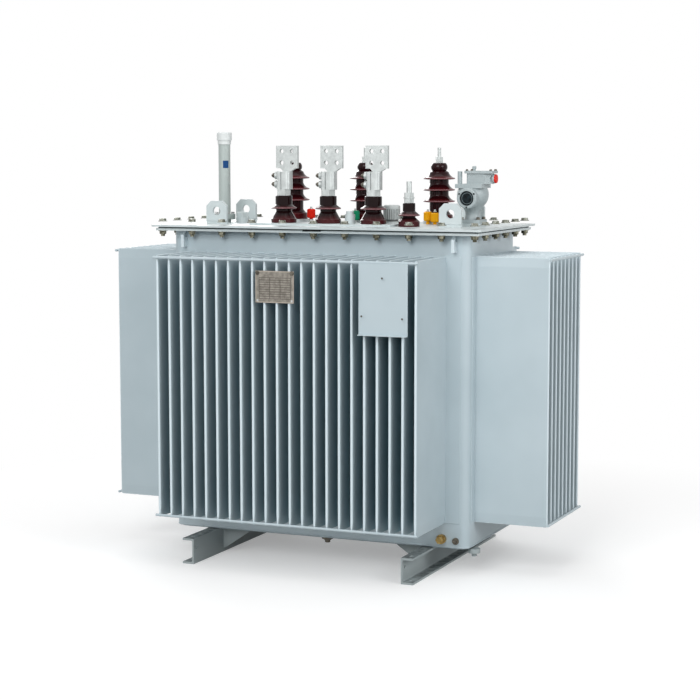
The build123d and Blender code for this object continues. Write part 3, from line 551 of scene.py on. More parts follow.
def switch_drum_material():
    """Light drum whose grooves and neck are darkened with painted shade."""
    material = enamel("tap changer drum", SWITCH_GREY, 0.4, 0.4)
    tree = material.node_tree
    floor_z = low_and_high("tap_changer")[0].z
    values = {
        "Deep Colour": BLACK,
        "Rim Colour": WHITE,
        "Rim Highlight Colour": WHITE,
        "Axis": tuple(middle("tap_changer")),
        "Core Radius": GROOVE_FLOOR,
        "Rim Radius": GROOVE_TOP,
    }
    grooves = add(tree, "ShaderNodeGroup", values, node_tree=rim_glaze)
    level = split(tree, object_coords(tree))["Z"]
    under_cap = calculate(tree, "LESS_THAN", level, floor_z + DRUM_TOP)
    over_foot = calculate(tree, "GREATER_THAN", level, floor_z + FOOT_TOP)
    band = calculate(tree, "MULTIPLY", under_cap, over_foot)
    shader = tree.nodes["Principled BSDF"]
    painted = shader.inputs["Base Color"].links[0].from_socket
    # Painted shade in the grooves and the neck, softened by a share of the plain paint.
    groove_shade = mix_colour(tree, band, painted, grooves.outputs["Colour"], "MULTIPLY")
    shaded = mix_colour(tree, UNSHADED_SHARE, groove_shade, painted)
    tree.links.new(shaded, shader.inputs["Base Color"])
    return material


set_material("tap_changer", switch_drum_material())
print("grooves are dark up to", GROOVE_FLOOR, "m from the axis")

# %% [markdown]
# The rest is a list of which finish goes on which nodes. A CAD node keeps its shape and its
# place: only the material in its slots changes.

# %% Give every other node its finish
FINISHES = {
    body_enamel: "tank_body tank_floor_plate fin_bars instrument_plate",
    cover_enamel: "tank_flange cover_plate cover_lugs lv_mount_plate hv_seats cover_fittings",
    dark_grey_and_joint_shade: "cover_gasket",
    painted_highlight_enamel: "tank_hooks",
    skid_enamel_with_painted_shade: "skid_left skid_right skid_gussets bottom_plug",
    tinned: "lv_terminal_a lv_terminal_b lv_terminal_c neutral_stud hv_studs",
    dark_zinc: "earth_terminal",
    gauge_enamel: "gauge_tube",
    cap_enamel: "gauge_cap",
    relay_enamel: "relay_body relay_box",
    sight_glass: "relay_window",
    plastics["red"]: "phase_marker_red relay_plug",
    plastics["green"]: "phase_marker_green",
    plastics["yellow"]: "phase_marker_yellow",
    plate_metal: "name_plate",
    plain_brass: "drain_valve",
}
for material, names in FINISHES.items():
    for name in names.split():
        set_material(name, material)
print("finished nodes:", len(finished), "of", len(nodes))

# %% [markdown]
# The cover is held by a row of hexagon bolts all round its edge. A bolt is a short chain of
# primitives: washer, six-sided head, chamfered crown and a threaded tail. One Geometry Nodes
# tree builds it and drops it on every point, with a seeded turn so that no two heads line up.


# %% The fastener tree
WASHER_SIDES = 20
TAIL_SIDES = 10
CROWN_TAPER = 0.86
FASTENER_INPUTS = {
    "Corner Radius": 0.0138,
    "Head Height": 0.010,
    "Crown Height": 0.002,
    "Washer Radius": 0.015,
    "Washer Height": 0.003,
    "Tail Radius": 0.008,
    "Tail Length": 0.0,
    "Turn": (0.0, 0.0, 0.0),
    "Seed": 1,
    "Finish": None,
}


def new_shape_tree(name, inputs):
    """A Geometry Nodes tree with named inputs and a geometry socket each way."""
    tree = bpy.data.node_groups.new(name, "GeometryNodeTree")
    for way in ("INPUT", "OUTPUT"):
        tree.interface.new_socket("Geometry", in_out=way, socket_type="NodeSocketGeometry")
    return name_inputs(tree, inputs)


def end_tree(tree, geometry, finish, outs):
    """Ends a shape tree: instances become plain mesh, and the mesh gets its material."""
    real = add(tree, "GeometryNodeRealizeInstances", {"Geometry": geometry}).outputs["Geometry"]
    coated = add(tree, "GeometryNodeSetMaterial", {"Geometry": real, "Material": finish})
    tree.links.new(coated.outputs["Geometry"], outs["Geometry"])


def prism(tree, sides, bottom, top, height, floor):
    """An upright prism or frustum that stands on a floor height."""
    sizes = {"Vertices": sides, "Radius Bottom": bottom, "Radius Top": top, "Depth": height}
    cone = add(tree, "GeometryNodeMeshCone", sizes, fill_type="NGON").outputs["Mesh"]
    lift = add(tree, "ShaderNodeCombineXYZ", {"Z": floor}).outputs["Vector"]
    moved = add(tree, "GeometryNodeTransform", {"Geometry": cone, "Translation": lift})
    return moved.outputs["Geometry"]


def build_fastener_tree():
    """Washer, hexagon, crown and tail on every point of the mesh that comes in."""
    tree, size, outs = new_shape_tree("hexagon fastener", FASTENER_INPUTS)
    head_floor = size["Washer Height"]
    crown_floor = calculate(tree, "ADD", head_floor, size["Head Height"])
    tail_floor = calculate(tree, "ADD", crown_floor, size["Crown Height"])
    rim = size["Washer Radius"]
    corner = size["Corner Radius"]
    crown_radius = calculate(tree, "MULTIPLY", corner, CROWN_TAPER)
    thread = size["Tail Radius"]
    washer = prism(tree, WASHER_SIDES, rim, rim, size["Washer Height"], 0.0)
    head = prism(tree, 6, corner, corner, size["Head Height"], head_floor)
    crown = prism(tree, 6, corner, crown_radius, size["Crown Height"], crown_floor)
    tail = prism(tree, TAIL_SIDES, thread, thread, size["Tail Length"], tail_floor)
    joined = tree.nodes.new("GeometryNodeJoinGeometry")
    for piece in (tail, crown, head, washer):
        tree.links.new(piece, joined.inputs["Geometry"])
    bolt = joined.outputs["Geometry"]
    turn_range = {2: 0.0, 3: math.tau, "Seed": size["Seed"]}
    spin = add(tree, "FunctionNodeRandomValue", turn_range, data_type="FLOAT")
    spin = add(tree, "ShaderNodeCombineXYZ", {"Z": spin.outputs[1]}).outputs["Vector"]
    places = {"Points": size["Geometry"], "Instance": bolt, "Rotation": size["Turn"]}
    placed = add(tree, "GeometryNodeInstanceOnPoints", places).outputs["Instances"]
    turns = {"Instances": placed, "Rotation": spin, "Local Space": True}
    spun = add(tree, "GeometryNodeRotateInstances", turns).outputs["Instances"]
    end_tree(tree, spun, size["Finish"], outs)
    return tree


fastener_tree = build_fastener_tree()
print("shape tree:", fastener_tree.name, "with", len(FASTENER_INPUTS), "named inputs")

# %% [markdown]
# A tree works on an object, so each set of bolts starts as a bare cloud of points.
# The result is then turned into a plain mesh, and the modifier goes before anything else
# is done with the piece, because an export keeps meshes and drops instances.


# %% From points or lines to a finished piece
def put_in_scene(name, data):
    """An object in the scene, from its mesh, lamp or camera data."""
    thing = bpy.data.objects.new(name, data)
    bpy.context.scene.collection.objects.link(thing)
    return thing


def wire(name, points, edges=()):
    """An object that holds only points, or points joined by edges."""
    mesh = bpy.data.meshes.new(name)
    mesh.from_pydata([tuple(p) for p in points], list(edges), [])
    return put_in_scene(name, mesh)


def grow(name, source, tree, values):
    """Runs a shape tree on an object and keeps the result as a plain mesh on the one body."""
    modifier = source.modifiers.new("shape", "NODES")
    modifier.node_group = tree
    for item in tree.interface.items_tree:
        if item.item_type == "SOCKET" and item.in_out == "INPUT" and item.name in values:
            modifier[item.identifier] = values[item.name]
    source.update_tag()
    bpy.context.view_layer.update()
    graph = bpy.context.evaluated_depsgraph_get()
    mesh = bpy.data.meshes.new_from_object(source.evaluated_get(graph), depsgraph=graph)
    source.modifiers.remove(modifier)
    bpy.data.objects.remove(source)
    mesh.name = name
    piece = put_in_scene(name, mesh)
    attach(piece, "root")
    print(name, "faces:", len(mesh.polygons))
    return piece


UP = (0.0, 0.0, 0.0)
DOWN = (math.pi, 0.0, 0.0)
TO_FRONT = (math.pi / 2, 0.0, 0.0)
TO_LEFT = (0.0, -math.pi / 2, 0.0)
CROWN_SHARE = 0.16
WASHER_SHARE = 0.12
NO_TAIL = 0.4 * MM


def bolts(name, points, turn, finish, across_flats, head, seed, washer=1.3, tail=(0.0, 0.0), slot="zinc"):
    """A set of hexagon bolts or nuts, one on each point."""
    corner = across_flats / math.sqrt(3)
    values = {
        "Corner Radius": corner,
        "Head Height": head * (1 - CROWN_SHARE),
        "Crown Height": head * CROWN_SHARE,
        "Washer Radius": corner * washer,
        "Washer Height": across_flats * WASHER_SHARE,
        "Tail Radius": max(tail[0], NO_TAIL),
        "Tail Length": max(tail[1], NO_TAIL),
        "Turn": turn,
        "Seed": seed,
        "Finish": finish,
    }
    return grow(name, wire(name + "_points", points), fastener_tree, values)


# %% [markdown]
# The cover has eleven bolts along each long side and six along each short one. The corner bolts
# belong to two sides, so the places are kept in a set, which holds each place once. Two bolts
# in the same place would fight for the same faces and render black.

# %% The bolts round the cover
COVER_BOLT_ACROSS = 24 * MM
COVER_BOLT_HEAD = 9 * MM
COVER_NUT_HEIGHT = 12 * MM
COVER_THREAD = 8 * MM
COVER_THREAD_RADIUS = 8 * MM
BOLT_EDGE = 20 * MM
LONG_SIDE_BOLTS = 11
SHORT_SIDE_BOLTS = 6

flange_low, flange_high = low_and_high("tank_flange")
cover_high = low_and_high("cover_plate")[1]
bolt_x = flange_high.x - BOLT_EDGE
bolt_y = flange_high.y - BOLT_EDGE
edge_x = round(bolt_x, 5)
edge_y = round(bolt_y, 5)
places = set()
for index in range(LONG_SIDE_BOLTS):
    x = round(-bolt_x + 2 * bolt_x * index / (LONG_SIDE_BOLTS - 1), 5)
    places.update({(x, -edge_y), (x, edge_y)})
for index in range(SHORT_SIDE_BOLTS):
    y = round(-bolt_y + 2 * bolt_y * index / (SHORT_SIDE_BOLTS - 1), 5)
    places.update({(-edge_x, y), (edge_x, y)})
places = sorted(places)
heads = [(x, y, cover_high.z) for x, y in places]
nuts = [(x, y, flange_low.z) for x, y in places]
bolts("cover_bolt_heads", heads, UP, olive_zinc, COVER_BOLT_ACROSS, COVER_BOLT_HEAD, seed=3)
thread = (COVER_THREAD_RADIUS, COVER_THREAD)
bolts("cover_bolt_nuts", nuts, DOWN, olive_zinc_in_painted_shade, COVER_BOLT_ACROSS, COVER_NUT_HEIGHT, seed=4, tail=thread)
print("cover bolts:", len(places))

# %% [markdown]
# Each low-voltage connector grips its stud with two clamp bolts, one through each round boss.
# Their heads stand on the bosses, so they point to the left.

# %% Clamp bolts of the low-voltage connectors
CONNECTOR_NUT_TOP = 24 * MM
BOSS_LEVELS = (20 * MM, 54 * MM)
clamp_points = []
for letter in "abc":
    terminal_low = low_and_high("lv_terminal_" + letter)[0]
    axis = middle("lv_bushing_" + letter)
    for level in BOSS_LEVELS:
        clamp_points.append((terminal_low.x, axis.y, terminal_low.z + CONNECTOR_NUT_TOP + level))
clamp_bolt = {"across_flats": 17 * MM, "head": 10 * MM, "tail": (5 * MM, 4 * MM)}
bolts("connector_clamp_bolts", clamp_points, TO_LEFT, dark_zinc, seed=7, **clamp_bolt)

# %% [markdown]
# The gauge stands on a round flange with four small bolts, and the relay on a square base with
# one bolt in each corner. The same function sets them, with smaller sizes.

# %% Small bolts of the fittings on the cover
GAUGE_BOLT_CIRCLE = 34 * MM
gauge_low = low_and_high("gauge_tube")[0]
gauge_axis = middle("gauge_tube")
GAUGE_FLANGE_TOP = 34 * MM
gauge_bolts = []
for index in range(4):
    x, y = on_circle(gauge_axis, GAUGE_BOLT_CIRCLE, math.pi / 4 + index * math.pi / 2)
    gauge_bolts.append((x, y, gauge_low.z + GAUGE_FLANGE_TOP))
bolts("gauge_flange_bolts", gauge_bolts, UP, bright_zinc, across_flats=13 * MM, head=7 * MM, seed=9)

relay_low = low_and_high("relay_body")[0]
relay_axis_x = middle("relay_body").x
RELAY_BASE_TOP = 14 * MM
RELAY_BOLT_REACH = 33 * MM
relay_bolts = []
foot_z = relay_low.z + RELAY_BASE_TOP
for x in (relay_axis_x - RELAY_BOLT_REACH, relay_axis_x + RELAY_BOLT_REACH):
    for y in (-RELAY_BOLT_REACH, RELAY_BOLT_REACH):
        relay_bolts.append((x, y, foot_z))
bolts("relay_foot_bolts", relay_bolts, UP, dark_zinc, across_flats=13 * MM, head=8 * MM, seed=11)

# %% [markdown]
# A weld bead is a row of small overlapping ripples along a joint. The tree turns a line into
# a tube whose radius swells and shrinks, so one function can weld any edge of the tank.

# %% The weld tree
WELD_INPUTS = {"Bead Radius": 0.003, "Ripple Step": 0.006, "Unevenness": 0.35, "Seed": 1, "Finish": None}


def build_weld_tree():
    """A rippled tube along every edge of the mesh that comes in."""
    tree, size, outs = new_shape_tree("weld bead", WELD_INPUTS)
    line = add(tree, "GeometryNodeMeshToCurve", {"Mesh": size["Geometry"]}).outputs["Curve"]
    steps = {"Curve": line, "Length": size["Ripple Step"]}
    even = add(tree, "GeometryNodeResampleCurve", steps, mode="LENGTH").outputs["Curve"]
    least = calculate(tree, "SUBTRACT", 1.0, size["Unevenness"])
    change = add(tree, "FunctionNodeRandomValue", {2: least, 3: 1.0, "Seed": size["Seed"]}, data_type="FLOAT")
    swell = calculate(tree, "MULTIPLY", change.outputs[1], size["Bead Radius"])
    ring = add(tree, "GeometryNodeCurvePrimitiveCircle", {"Resolution": 6, "Radius": 1.0}).outputs["Curve"]
    sweep = {"Curve": even, "Profile Curve": ring, "Fill Caps": True, "Scale": swell}
    tube = add(tree, "GeometryNodeCurveToMesh", sweep).outputs["Mesh"]
    smooth = add(tree, "GeometryNodeSetShadeSmooth", {"Geometry": tube}).outputs["Geometry"]
    end_tree(tree, smooth, size["Finish"], outs)
    return tree


weld_tree = build_weld_tree()
RIPPLE_SPACING = 2.2


def weld(name, lines, radius, finish, seed):
    """Weld beads along a set of lines, each a list of points, closed if its ends meet."""
    points = []
    edges = []
    for line in lines:
        start = len(points)
        closed = (Vector(line[0]) - Vector(line[-1])).length < 1e-6
        kept = line[:-1] if closed else line
        points.extend(kept)
        edges.extend((start + i, start + i + 1) for i in range(len(kept) - 1))
        if closed:
            edges.append((start + len(kept) - 1, start))
    values = {"Bead Radius": radius, "Ripple Step": radius * RIPPLE_SPACING, "Seed": seed, "Finish": finish}
    return grow(name, wire(name + "_lines", points, edges), weld_tree, values)


def rounded_loop(half_x, half_y, radius, height, steps=5):
    """A closed level loop with round corners."""
    loop = []
    corners = ((1, 1, 0), (-1, 1, 90), (-1, -1, 180), (1, -1, 270))
    for side_x, side_y, start in corners:
        for index in range(steps + 1):
            angle = math.radians(start + 90 * index / steps)
            corner = (side_x * (half_x - radius), side_y * (half_y - radius))
            loop.append((*on_circle(corner, radius, angle), height))
    return loop + [loop[0]]


# %% [markdown]
# The shell is welded all round, to the flange at the top and to the floor plate at the bottom.
# Its corners are round, so the lines turn in short arcs there.

# %% Welds of the tank
TANK_CORNER = 30 * MM
SEAM_BEAD = 3.5 * MM
SHEET_BEAD = 2.6 * MM
FIN_BEAD = 2.4 * MM
FOOT_BEAD = 3 * MM
tank_low, tank_high = low_and_high("tank_body")
seams = [rounded_loop(tank_high.x, tank_high.y, TANK_CORNER, z) for z in (tank_high.z, tank_low.z)]
weld("tank_seam_welds", seams, SEAM_BEAD, body_enamel, seed=2)

# %% [markdown]
# Each corrugated wall is a separate sheet let into the side of the tank. A thinner bead runs
# along its top, its bottom and its two upright edges, so the line is a closed rectangle.

# %% Welds round the corrugated walls
SHEET_EDGE = 34 * MM
fins_low, fins_high = low_and_high("front_fins")
panel_lines = []
for side in (-1, 1):
    y = side * tank_high.y
    x = tank_high.x - SHEET_EDGE
    corners = [(-x, fins_low.z), (x, fins_low.z), (x, fins_high.z), (-x, fins_high.z), (-x, fins_low.z)]
    panel_lines.append([(along, y, z) for along, z in corners])
    x = side * tank_high.x
    y = tank_high.y - SHEET_EDGE
    corners = [(-y, fins_low.z), (y, fins_low.z), (y, fins_high.z), (-y, fins_high.z), (-y, fins_low.z)]
    panel_lines.append([(x, along, z) for along, z in corners])
weld("panel_seam_welds", panel_lines, SHEET_BEAD, body_enamel, seed=5)

# %% [markdown]
# Each fin is folded from the wall sheet, and its two ends are pinched flat and welded shut.
# The beads run out from the wall to the nose along the top and the bottom of every fin.

# %% Edge welds of the fins
WELD_NOSE_GAP = 6 * MM
front_reach = -fins_low.y
right_reach = low_and_high("right_fins")[1].x


def fin_stations(count):
    """Where the fins of a wall stand along it, counted from its middle."""
    return [(index - (count - 1) / 2) * FIN_PITCH for index in range(count)]


fin_lines = []
for z in (fins_low.z, fins_high.z):
    for side in (-1, 1):
        for x in fin_stations(FRONT_FINS):
            fin_lines.append([(x, side * tank_high.y, z), (x, side * (front_reach - WELD_NOSE_GAP), z)])
        for y in fin_stations(SIDE_FINS):
            fin_lines.append([(side * tank_high.x, y, z), (side * (right_reach - WELD_NOSE_GAP), y, z)])
weld("fin_edge_welds", fin_lines, FIN_BEAD, painted_highlight_enamel, seed=14)

# %% [markdown]
# The lifting lugs stand on the cover between two beads each, and the channels are welded to the
# floor plate along both edges of their upper flanges.

# %% Welds under the cover lugs and over the skids
foot_lines = []
lug_high = low_and_high("cover_lugs")[1]
LUG_WIDTH = 90 * MM
LUG_HALF_THICKNESS = 6 * MM
for side_x in (-1, 1):
    for side_y in (-1, 1):
        left = side_x * (lug_high.x - LUG_WIDTH / 2) - LUG_WIDTH / 2
        for face in (-1, 1):
            y = side_y * (lug_high.y - LUG_HALF_THICKNESS) + face * LUG_HALF_THICKNESS
            foot_lines.append([(left, y, cover_high.z), (left + LUG_WIDTH, y, cover_high.z)])
weld("lug_foot_welds", foot_lines, FOOT_BEAD, cover_enamel, seed=8)

skid_low, skid_high = low_and_high("skid_right")
SKID_WELD_INSET = 15 * MM
skid_end = tank_high.y - SKID_WELD_INSET
skid_lines = []
for side in (-1, 1):
    for x in (side * skid_low.x, side * skid_high.x):
        skid_lines.append([(x, -skid_end, skid_high.z), (x, skid_end, skid_high.z)])
weld("skid_welds", skid_lines, FOOT_BEAD, body_enamel, seed=10)

# %% [markdown]
# The bars are held to every fin nose by a short tack. A tack is a squashed drop, so the tree
# needs only a small ball on every crossing, stretched a little by a seed.

# %% Tacks between bars and fins
TACK_RADIUS = 4 * MM
TACK_INPUTS = {"Radius": 0.005, "Seed": 1, "Finish": None}
LEAST_TACK = (0.8, 0.8, 0.8)
MOST_TACK = (1.25, 1.25, 1.25)


def build_tack_tree():
    """A small uneven drop of weld metal on every point."""
    tree, size, outs = new_shape_tree("weld tack", TACK_INPUTS)
    drop = add(tree, "GeometryNodeMeshIcoSphere", {"Subdivisions": 2, "Radius": size["Radius"]})
    smooth = add(tree, "GeometryNodeSetShadeSmooth", {"Geometry": drop.outputs["Mesh"]})
    spread = {0: LEAST_TACK, 1: MOST_TACK, "Seed": size["Seed"]}
    scale = add(tree, "FunctionNodeRandomValue", spread, data_type="FLOAT_VECTOR").outputs[0]
    places = {"Points": size["Geometry"], "Instance": smooth.outputs["Geometry"], "Scale": scale}
    placed = add(tree, "GeometryNodeInstanceOnPoints", places)
    end_tree(tree, placed.outputs["Instances"], size["Finish"], outs)
    return tree


tack_tree = build_tack_tree()
print("shape tree:", tack_tree.name)
BAR_INSET = 7 * MM
tacks = []
for height in (fins_low.z + BAR_INSET, fins_high.z - BAR_INSET):
    for side in (-1, 1):
        for x in fin_stations(FRONT_FINS):
            tacks.append((x, side * fins_low.y, height))
        for y in fin_stations(SIDE_FINS):
            tacks.append((side * right_reach, y, height))
tack_values = {"Radius": TACK_RADIUS, "Seed": 6, "Finish": body_enamel}
grow("bar_tacks", wire("bar_tack_points", tacks), tack_tree, tack_values)

# %% [markdown]
# Small turned or folded pieces are simple enough to build in bmesh, point by point.


# %% Helpers for small pieces
def keep(name, mesh, material, smooth=False):
    """An object from a finished bmesh, with its material, body and slot."""
    bmesh.ops.recalc_face_normals(mesh, faces=mesh.faces)
    data = bpy.data.meshes.new(name)
    mesh.to_mesh(data)
    mesh.free()
    data.materials.append(material)
    for face in data.polygons:
        face.use_smooth = smooth
    piece = put_in_scene(name, data)
    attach(piece, "root")
    print(name, "faces:", len(data.polygons))
    return piece


def slab(mesh, low, high, bevel=0.0):
    """A box between two corners, with softened edges."""
    made = bmesh.ops.create_cube(mesh, size=1.0)
    for vertex in made["verts"]:
        for axis in range(3):
            vertex.co[axis] = low[axis] if vertex.co[axis] < 0 else high[axis]
    if bevel > 0.0:
        edges = {edge for vertex in made["verts"] for edge in vertex.link_edges}
        bmesh.ops.bevel(mesh, geom=list(edges), offset=bevel, segments=2, affect="EDGES")


def band(mesh, near, far):
    """Faces between two closed rings of corners."""
    for index in range(len(near)):
        following = (index + 1) % len(near)
        mesh.faces.new((near[index], near[following], far[following], far[index]))


def turned(mesh, centre, profile, sides=24):
    """A closed turned piece about an upright axis, from (radius, height) pairs."""
    rings = []
    for radius, height in profile:
        ring = []
        for index in range(sides):
            x, y = on_circle(centre, radius, math.tau * index / sides)
            ring.append(mesh.verts.new((x, y, centre[2] + height)))
        rings.append(ring)
    for lower, upper in zip(rings, rings[1:]):
        band(mesh, lower, upper)
    mesh.faces.new(list(reversed(rings[0])))
    mesh.faces.new(rings[-1])


# %% [markdown]
# The gauge tube carries a blue sticker, left blank here. It is bent round the tube, so it is
# built from columns of corners on two radii, one just inside the paint and one just outside.
# That gives a closed band, and no face lies exactly on the tube.

# %% A plain label on the gauge tube
LABEL_HEIGHT = 30 * MM
LABEL_FLOOR = 219 * MM
LABEL_START = -78
LABEL_END = -22
LABEL_STAND_OFF = 0.3 * MM
TUBE_RADIUS = 24 * MM
LABEL_COLUMNS = 9
label = bmesh.new()
inner = []
outer = []
for index in range(LABEL_COLUMNS):
    angle = math.radians(LABEL_START + (LABEL_END - LABEL_START) * index / (LABEL_COLUMNS - 1))
    for row, radius in ((inner, TUBE_RADIUS - LABEL_STAND_OFF), (outer, TUBE_RADIUS + LABEL_STAND_OFF)):
        x, y = on_circle(gauge_axis, radius, angle)
        for height in (LABEL_FLOOR, LABEL_FLOOR + LABEL_HEIGHT):
            row.append(label.verts.new((x, y, gauge_low.z + height)))
for index in range(LABEL_COLUMNS - 1):
    a, b, c, d = 2 * index, 2 * index + 1, 2 * index + 3, 2 * index + 2
    label.faces.new((outer[a], outer[d], outer[c], outer[b]))
    label.faces.new((inner[a], inner[b], inner[c], inner[d]))
    label.faces.new((outer[b], outer[c], inner[c], inner[b]))
    label.faces.new((outer[a], inner[a], inner[d], outer[d]))
last = 2 * (LABEL_COLUMNS - 1)
label.faces.new((outer[0], outer[1], inner[1], inner[0]))
label.faces.new((outer[last], inner[last], inner[last + 1], outer[last + 1]))
keep("gauge_label", label, label_blue)

# %% [markdown]
# The relay's sight glass is held by a ring with three black screws. They point at the viewer,
# so the same function sets them with another turn.

# %% Screws round the sight window
RING_SCREW_CIRCLE = 34 * MM
RING_CENTRE_HEIGHT = 96 * MM
SCREW_STAND = 0.2 * MM
ring_centre = (relay_axis_x, relay_low.z + RING_CENTRE_HEIGHT)
screws = []
for index in range(3):
    x, z = on_circle(ring_centre, RING_SCREW_CIRCLE, math.radians(30 + 120 * index))
    screws.append((x, relay_low.y + SCREW_STAND, z))
ring_screw = {"across_flats": 6 * MM, "head": 2.4 * MM, "washer": 1.0}
bolts("sight_ring_screws", screws, TO_FRONT, black_rubber, seed=13, slot="gasket", **ring_screw)

# %% [markdown]
# A second ring lies on the glass itself. A ring is four loops of corners, inner and outer,
# front and back, with faces between each loop and the next.

# %% Inner ring of the sight window
RING_ROOT = 0.3 * MM
RING_RADIUS = 22 * MM
RING_BAND = 2.4 * MM
RING_STAND = 1.2 * MM
RING_SIDES = 32
window_low = low_and_high("relay_window")[0]
ring = bmesh.new()
loops = []
for radius in (RING_RADIUS - RING_BAND, RING_RADIUS):
    for y in (window_low.y - RING_STAND, window_low.y + RING_ROOT):
        loop = []
        for index in range(RING_SIDES):
            x, z = on_circle(ring_centre, radius, math.tau * index / RING_SIDES)
            loop.append(ring.verts.new((x, y, z)))
        loops.append(loop)
for first, second in ((0, 1), (1, 3), (3, 2), (2, 0)):
    band(ring, loops[first], loops[second])
keep("sight_window_ring", ring, dark_grey_and_joint_shade)

# %% [markdown]
# The lid of the relay's box has a test knob and a screw in each corner. The knob is turned, so
# it needs only a profile: pairs of radius and height, from its foot to its top.

# %% Knob and screws on the relay box lid
box_low, box_high = low_and_high("relay_box")
KNOB_RADIUS = 8 * MM
KNOB_HEIGHT = 18 * MM
KNOB_DISTANCE = 28 * MM
SUNK = 0.3 * MM
knob = bmesh.new()
knob_place = (box_low.x + KNOB_DISTANCE, 0.0, box_high.z - SUNK)
knob_shares = ((0.7, 0.0), (0.7, 0.35), (1.0, 0.4), (1.0, 0.9), (0.8, 1.0))
turned(knob, knob_place, [(KNOB_RADIUS * wide, KNOB_HEIGHT * high) for wide, high in knob_shares])
keep("relay_test_knob", knob, relay_enamel)
LID_SCREW_INSET = 9 * MM
lid_screws = []
for x in (box_low.x + LID_SCREW_INSET, box_high.x - LID_SCREW_INSET):
    for y in (box_low.y + LID_SCREW_INSET, box_high.y - LID_SCREW_INSET):
        lid_screws.append((x, y, box_high.z))
bolts("relay_lid_screws", lid_screws, UP, dark_zinc, across_flats=9 * MM, head=5 * MM, seed=15)

# %% [markdown]
# Each of the four phase caps has a short stud on its top. The two yellow caps are one node, so
# their places come from the corners of its box, one cap radius in.

# %% Studs on the phase markers
STUD_RADIUS = 4 * MM
STUD_HEIGHT = 9 * MM
COLLAR_RADIUS = 1.6 * STUD_RADIUS
stud_mesh = bmesh.new()
CAP_RADIUS = 17 * MM
cap_places = []
for node in ("phase_marker_red", "phase_marker_green"):
    centre = middle(node)
    cap_places.append((centre.x, centre.y, low_and_high(node)[1].z))
yellow_low, yellow_high = low_and_high("phase_marker_yellow")
cap_places.append((yellow_low.x + CAP_RADIUS, yellow_high.y - CAP_RADIUS, yellow_high.z))
cap_places.append((yellow_high.x - CAP_RADIUS, yellow_low.y + CAP_RADIUS, yellow_high.z))
collar = [(COLLAR_RADIUS, 0.0), (COLLAR_RADIUS, 3 * MM)]
stud_profile = collar + [(STUD_RADIUS, 3.2 * MM), (STUD_RADIUS, STUD_HEIGHT)]
for x, y, top in cap_places:
    turned(stud_mesh, (x, y, top - SUNK), stud_profile, sides=12)
keep("marker_studs", stud_mesh, tinned)

# %% [markdown]
# The name plate is a thin sheet with a raised rim and an empty ruled table, left blank here.
# Each rule is a low dark ridge, because the etched lines of such plates are filled with paint.

# %% Rim and empty table of the name plate
RIM_WIDTH = 4 * MM
RULE_WIDTH = 1.6 * MM
RULE_RISE = 0.6 * MM
RULE_ROOT = 0.2 * MM
RULE_ROWS = 9
RULE_COLUMNS = (0.0, 0.34, 0.67, 1.0)
TABLE_MARGIN = 14 * MM
HEADING_HEIGHT = 26 * MM
name_low, name_high = low_and_high("name_plate")
face_y = name_low.y
lines = bmesh.new()


def ridge(low_x, high_x, low_z, high_z, rise):
    """A flat ridge on the face of the name plate."""
    slab(lines, (low_x, face_y - rise, low_z), (high_x, face_y + RULE_ROOT, high_z))


for edge in (name_low.z, name_high.z - RIM_WIDTH):
    ridge(name_low.x, name_high.x, edge, edge + RIM_WIDTH, 1.5 * RULE_RISE)
for edge in (name_low.x, name_high.x - RIM_WIDTH):
    ridge(edge, edge + RIM_WIDTH, name_low.z + RIM_WIDTH, name_high.z - RIM_WIDTH, 1.5 * RULE_RISE)
keep("name_plate_rim", lines, rim_metal)
lines = bmesh.new()
table_left = name_low.x + TABLE_MARGIN
table_right = name_high.x - TABLE_MARGIN
table_floor = name_low.z + TABLE_MARGIN
table_top = name_high.z - HEADING_HEIGHT
for row in range(RULE_ROWS + 1):
    z = table_floor + (table_top - table_floor) * row / RULE_ROWS
    ridge(table_left, table_right, z, z + RULE_WIDTH, RULE_RISE)
for share in RULE_COLUMNS:
    x = table_left + (table_right - table_left) * share
    ridge(x, x + RULE_WIDTH, table_floor, table_top + RULE_WIDTH, 0.9 * RULE_RISE)
keep("name_plate_table", lines, rule_metal)
print("name plate rules:", RULE_ROWS + 1 + len(RULE_COLUMNS))

# %% [markdown]
# The name plate hangs on two dark bolts and has a rivet in each lower corner. The instrument
# plate has three small screws, placed as shares of its width and height.

# %% Rivets of the name plate and screws of the instrument plate
RIVET_INSET = 8 * MM
columns = (name_low.x + RIVET_INSET, name_high.x - RIVET_INSET)
lower = [(x, name_low.y, name_low.z + RIVET_INSET) for x in columns]
upper = [(x, name_low.y, name_high.z - RIVET_INSET) for x in columns]
bolts("name_plate_rivets", lower, TO_FRONT, bright_zinc, across_flats=6 * MM, head=2 * MM, seed=17)
bolts("name_plate_bolts", upper, TO_FRONT, dark_zinc, across_flats=11 * MM, head=4 * MM, seed=18)

plate_low, plate_high = low_and_high("instrument_plate")
PLATE_SCREW_SHARES = ((0.51, 0.8), (0.09, 0.27), (0.92, 0.25))
plate_screws = []
plate_size = plate_high - plate_low
for share_x, share_z in PLATE_SCREW_SHARES:
    x = plate_low.x + plate_size.x * share_x
    z = plate_low.z + plate_size.z * share_z
    plate_screws.append((x, plate_low.y, z))
plate_screw = {"across_flats": 5 * MM, "head": 1.6 * MM}
bolts("instrument_plate_screws", plate_screws, TO_FRONT, dark_zinc, seed=19, **plate_screw)

# %% [markdown]
# A short length of the cover's gasket has been squeezed out at the front and is left unpainted.
# The black strip stands a hair proud of the flange, so it reads as rubber and not as a gap.

